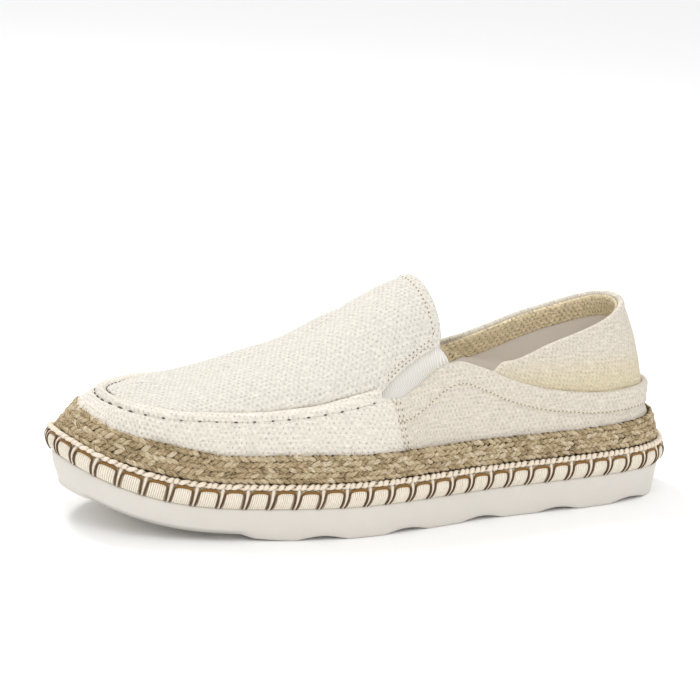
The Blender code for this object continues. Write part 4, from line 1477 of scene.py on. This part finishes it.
heel_inner = raised(heel_skin, heel_normal, heel_middle - heel_half + pucker)
heel_map = cloth_map(heel_skin, walk_of(heel_column))
soft_heel = add_slab("soft_heel", heel_outer, heel_inner, heel_map, shaded_heel_cloth)

# %% [markdown]
# ## Binding and lining
#
# Inside, a tan woven tape binds the topline, and a smooth pale lining covers the rest. Both hang from the
# topline, so their grid is read by the distance below it: each column is a path down the inside, resampled
# at even steps.


# %% Inside
def down_from_topline(columns, distances):
    """Points at these distances, in mm, below the topline, and the length of each whole path.

    A path runs down the soft heel, where there is one, and then down the wall.
    """
    on_heel = (np.abs(columns) < NOTCH)[None, :, None]
    heel = heel_at(np.clip(columns, -NOTCH, NOTCH), np.linspace(1, 0, 41))
    upper_part = np.where(on_heel, heel, wall(columns, np.array([3.0])))
    path = np.concatenate([upper_part, wall(columns, np.linspace(3, 0, 81)[1:])])
    return read_paths(path, distances), walked(path)[-1]


def make_hanging(name, columns, distances, depth, thickness, finish):
    """A slab under the skin, `depth` mm in: deeper behind the soft heel, shallower in front of the notch."""
    skin, _ = down_from_topline(columns, distances)
    skin = skin[::-1]
    normal = normals_of(skin)
    depth = depth + 2.0 * plugged(columns)
    up = walked(skin)
    half = soft_edge(np.minimum(up, up[-1] - up), thickness / 2)
    outer = raised(skin, normal, -depth - thickness / 2 + half)
    inner = raised(skin, normal, -depth - thickness / 2 - half)
    return add_slab(name, outer, inner, cloth_map(skin, walk_of(columns)), finish)


inside_column = np.linspace(-13.6, 13.6, 401)
tape_down = np.concatenate([[0.7, 0.75, 0.9, 1.2], np.linspace(1.7, 10.0, 18), [10.4, 10.6, 10.65]])[:, None]
tape_width = 1.08 + 0.22 * ramp(np.abs(inside_column), 5, 5)
# The tape comes out towards the topline, by an exponential of the distance below it.
tape_depth = 3.1 - 1.5 * np.exp(-tape_down[::-1] / 1.3)
binding = make_hanging("binding_tape", inside_column, tape_down * tape_width, tape_depth, 1.1, binding_cloth)

lining_column = inside_column[::2]
_, full = down_from_topline(lining_column, np.zeros((1, 1)))
lining_down = 6.0 + (full - 7.5) * np.linspace(0, 1, 26)[:, None]
lining_back = make_hanging("lining_back", lining_column, lining_down, 2.9, 0.8, lining_cloth)

vamp_skin = wall(np.linspace(MOUTH, COLUMNS - MOUTH, 180), np.linspace(0, 3, 20))
vamp_normal = normals_of(vamp_skin)
vamp_outer, vamp_inner = (raised(vamp_skin, vamp_normal, -depth) for depth in (4.2, 4.8))
lining_vamp = add_slab("lining_vamp", vamp_outer, vamp_inner, cloth_map(vamp_skin), lining_cloth)

# %% [markdown]
# ## Stitches
#
# A stitch is a short tube with pinched ends that follows the cloth. Its five points are read from a line
# drawn on the cloth: the arc length of the line gives the place of every stitch, and np.interp reads all of
# them at once. Seams in thin thread show more of their needle holes than of their thread, so each of those
# gets a dark dot of painted shade between stitches.


# %% Stitch helpers
canvas_thread = make_yarn("cotton_sewing_thread", "BFB39C", "EBE4D6", "crest", 0.7)
# Needle holes are dots of painted shade.
painted_hole_shade, *_ = new_finish("needle_hole_shade", "968C77", Roughness=1.0, Specular_IOR_Level=0.05)
fold_thread, *_ = new_finish("tan_sewing_thread", "A59879", Roughness=0.9, Specular_IOR_Level=0.1)
# The moccasin seams' dark grey is painted shade on the thread and in its holes.
shaded_seam_thread, *_ = new_finish("moccasin_thread_in_shade", "5F5D52", Roughness=0.9, Specular_IOR_Level=0.1)


def arc_length(line):
    """Distance walked to each point of a line, whose rows are a point and a normal."""
    return walked(line[:, :3])


def along_line(line, place):
    """Points and normals of a line at these arc lengths, in any array shape."""
    length = arc_length(line)
    return np.stack([np.interp(place, length, line[:, k]) for k in range(6)], axis=-1)


def even_places(line, spacing):
    """Arc lengths spaced evenly along a line, half a space from both ends."""
    whole = arc_length(line)[-1]
    count = int(whole / spacing)
    return (np.arange(count) + 0.5) * whole / count


def stitches_on(line, places, length, above, sink):
    """Paths and normals of stitches, five points each: `above` mm over the line, `sink` lower at the ends."""
    place = places[:, None] + np.linspace(-0.5, 0.5, 5) * np.reshape(length, (-1, 1))
    both = along_line(line, place)
    out = both[..., 3:] / np.linalg.norm(both[..., 3:], axis=-1, keepdims=True)
    dive = np.array([1.0, 0.35, 0.0, 0.35, 1.0])[None, :, None]
    return both[..., :3] + out * (above - dive * sink), out


def add_stitches(name, rows, radius, finish):
    """One mesh of the rows that stitches_on made. A stitch's ends are pinched to a quarter of its radius."""
    paths, outs = (np.concatenate(part) for part in zip(*rows))
    pinch = radius * np.array([0.25, 0.85, 1.0, 0.85, 0.25])
    return add_tubes(name, paths, pinch, outs, finish=finish, crest=np.ones(paths.shape[:2]))


# %% [markdown]
# ### The two moccasin seams
#
# Both are read from the toe wall's own grid: the outer one is the row under the roll, the inner one its
# last row. The outer seam is drawn tight: along the outer side of the shoe only a dark hole shows every
# 8 mm, and round the toe, where the gathers stand close, the holes run into dashes. Both are drawn in a dark
# grey, the thread and its holes in painted shade. Places with an uneven gap come from the running sum of one
# over the gap.

# %% Moccasin seams
toe_both = np.concatenate([toe_outer, toe_normal], axis=-1)
in_seam = np.abs(toe_column - TOE) < TOE - SEAM - 0.4
line = toe_both[BAND_ROW, in_seam]
length = arc_length(line)
toe_place = np.interp(TOE, toe_column[in_seam], length)


def on_side(place):
    """0 round the toe, and 1 along the outer side, from 28 mm behind the toe on."""
    return ramp(toe_place - place, 15.6, 12.0)


gap = 5.6 + 2.1 * on_side(length)
stitches = np.concatenate([[0], np.cumsum(np.diff(length) / gap[1:])])
places = np.interp(np.arange(0.5, stitches[-1]), stitches, length)
places = places + random.uniform(-0.45, 0.45, len(places))
dash = 2.9 - 1.5 * on_side(places) + random.uniform(-0.3, 0.3, len(places))
moccasin_seam = add_stitches("moccasin_seam", [stitches_on(line, places, dash, 0.4, 0.2)], 0.40, shaded_seam_thread)

line = toe_both[-1, (toe_column > 31.5) & (toe_column < 48)]
inner_row = stitches_on(line, even_places(line, 3.4), 2.1, 0.65, 0.12)
inner_seam = add_stitches("inner_moccasin_seam", [inner_row], 0.24, shaded_seam_thread)

# %% [markdown]
# ### Hems of the flap, side seams and the quarter's fold
#
# The flap is hemmed with two rows along its lower edges and one across the back, the quarter with two rows
# down each side seam and one along its fold. Each line is read from a grid at a fixed distance from an edge
# of the cloth.

# %% Fine seams
HEM_ROWS, HEM_TURN = (2.9, 5.2), 0.7
SIDE_ROWS = (1.2, 3.6)
fine, holes, fold_holes = [], [], []


def sew_fine(line, spacing, dots, dot=1.1):
    """A row of thin stitches with a dark dot, `dot` mm long, at each needle hole."""
    places = even_places(line, spacing)
    places = places + random.uniform(-0.2, 0.2, len(places))
    fine.append(stitches_on(line, places, spacing * 0.62, 0.05, 0.2))
    dots.append(stitches_on(line, places + 0.5 * spacing, dot, 0.14, 0.1))


flap_both = np.concatenate([flap_outer, flap_normal], axis=-1)
half_column = flap_column[: middle + 1]
for half in (flap_both[:, : middle + 1], flap_both[:, : middle - 1 : -1]):
    for edge in HEM_ROWS:
        low_row = read_paths(half, np.array([[edge + HEM_TURN]]))[0]
        sew_fine(low_row[(half_column > MOUTH + edge / COLUMN_MM) & (half_column < 16.7)], 2.4, holes)
    back_row = read_paths(np.swapaxes(half, 0, 1), np.array([[edge + HEM_TURN]]))[0]
    sew_fine(back_row[from_low[:, 0] > edge], 2.4, holes)


def column_line(column):
    """The line up the quarter's grid at a fractional column."""
    place = (column + QUARTER_END) / (2 * QUARTER_END) * (len(quarter_column) - 1)
    low, share = int(place), place - int(place)
    return quarter_both[4:-6, low] * (1 - share) + quarter_both[4:-6, low + 1] * share


quarter_both = np.concatenate([quarter_outer, quarter_normal], axis=-1)
for back in SIDE_ROWS:
    seam_at = column_of(walk_of(QUARTER_END) - back)
    for line in (column_line(seam_at), column_line(-seam_at)):
        sew_fine(line, 3.0, holes)
sew_fine(read_paths(quarter_both[::-1], fold_at[None])[0, 8:-8], 2.3, fold_holes, 1.3)
fine_seams = add_stitches("fine_seams", fine, 0.30, canvas_thread)
needle_holes = add_stitches("needle_holes", holes, 0.28, painted_hole_shade)
fold_stitches = add_stitches("fold_stitches", fold_holes, 0.26, fold_thread)

# %% [markdown]
# ## The insole pad
#
# The foot stands on a pad of cloth-covered foam, of which little shows through the mouth. It is lofted as
# the sole is: rings of inset and height, then rings drawn together onto a spine along the middle, which
# closes the top.

# %% Insole
INSOLE_PROFILE = ((9.3, 25.3), (9.3, 27.6), (9.8, 28.3), (11.0, 28.5))
walks = even_walks(200)
rings = []
for inset, height in INSOLE_PROFILE:
    ring = plan_inside(walks, inset + 0 * walks)
    rings.append(np.column_stack([ring, height + lift(ring[:, 0])]))
top = rings[-1][:, :2]
for share in (0.3, 0.6, 1.0):
    ring = top + (spine_of(top) - top) * share
    rings.append(np.column_stack([ring, INSOLE_PROFILE[-1][1] + lift(ring[:, 0])]))
insole_points = np.stack(rings)
insole_ids = joined_halves(numbered(insole_points), -1)
insole_map = insole_points[..., :2]
insole = add_mesh("insole_pad", insole_points, quads(ringed(insole_ids)), insole_map, insole_cloth)

# %% [markdown]
# ## What the pieces stand for
#
# Nothing on this shoe moves on its own, so every piece rides on the root body. The six solids of the frame
# that the pieces stand in for are hidden.

# %% Ride and replace
welt_pieces = (sole, welt, overcast, cords, rope, backing, floats, hairs)
canvas_pieces = (toe_wall, apron, *gores, quarter, soft_heel, binding, lining_back, lining_vamp)
stitch_pieces = (moccasin_seam, inner_seam, fine_seams, needle_holes, fold_stitches)
pieces = (*welt_pieces, *canvas_pieces, *stitch_pieces, insole)
for piece in pieces:
    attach(piece, "root")
print(len(pieces), "pieces ride on the root body")
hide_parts("outsole")
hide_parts("midsole")
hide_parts("jute_braid")
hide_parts("upper")
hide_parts("quarter")
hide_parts("insole")

# %% [markdown]
# ## The floor
#
# The shoe stands on a seamless white sweep: one matt quad, so large that its edge is out of sight.

# %% Floor
FLOOR_HALF = 30
floor_finish, *_ = new_finish("studio_floor", "FDFDFD", Roughness=0.9)
floor = bpy.data.meshes.new("floor")
corners = [(x * FLOOR_HALF, y * FLOOR_HALF, 0) for x, y in ((-1, -1), (1, -1), (1, 1), (-1, 1))]
floor.from_pydata(corners, [], [(0, 1, 2, 3)])
floor.materials.append(floor_finish)
floor = bpy.data.objects.new("floor", floor)
bpy.context.scene.collection.objects.link(floor)

# %% [markdown]
# ## Light
#
# A white sky gives the even wrap of a light tent, and two soft lights give it a direction: one overhead and
# a little behind draws the contact shadow forwards, one in front opens the side. Lamps and camera are
# placed the same way, by a matrix whose columns are their right, up and backward axes and their place.

# %% Light
scene = bpy.context.scene
world = bpy.data.worlds.new("studio")
world.use_nodes = True
sky = world.node_tree.nodes["Background"].inputs
sky["Color"].default_value = (1, 1, 1, 1)
sky["Strength"].default_value = 0.9
scene.world = world
scene.view_settings.view_transform = "Standard"


def place_object(made, right, up, away, place):
    """Links a lamp or camera that looks along -away from the place, in metres."""
    made = bpy.data.objects.new(made.name, made)
    scene.collection.objects.link(made)
    matrix = np.eye(4)
    matrix[:3] = np.column_stack([right, up, away, place])
    made.matrix_world = Matrix(matrix.tolist())
    return made


def add_light(name, place, size, power):
    """A square area light aimed at the shoe: size in metres, power in watts."""
    light = bpy.data.lights.new(name, "AREA")
    light.size, light.energy = size, power
    away = np.array(place) / np.linalg.norm(place)
    side = np.cross((0, 0, 1), away)
    side /= np.linalg.norm(side)
    return place_object(light, side, np.cross(away, side), away, place)


add_light("overhead", (0.3, -0.75, 1.25), 0.4, 8.0)
add_light("front_fill", (0.15, 1.0, 1.15), 1.2, 6.4)

# %% [markdown]
# ## Camera
#
# A long lens a good metre away, 13 degrees up and 26 degrees round from the side, rolled a little. Its axes
# are the turned unit vectors of that direction, and it looks at a point inside the shoe.

# %% Camera
DISTANCE = 1187.9
yaw, rise, turn = np.radians((26.0, 13.09, 3.39))
back = np.array([np.sin(yaw) * np.cos(rise), np.cos(yaw) * np.cos(rise), np.sin(rise)])
right = np.array([-np.cos(yaw), np.sin(yaw), 0])
up = np.cross(back, right)
right, up = right * np.cos(turn) + up * np.sin(turn), up * np.cos(turn) - right * np.sin(turn)
aim = np.array([159.61 - LENGTH / 2, -CENTRE, 70.1])
lens = bpy.data.cameras.new("camera")
lens.lens, lens.sensor_width = 137.95, 36.0
lens.clip_start, lens.clip_end = 0.05, 60
scene.camera = place_object(lens, right, up, back, (aim + DISTANCE * back) * MM)
print("Camera at", [round(value, 3) for value in scene.camera.matrix_world.translation])
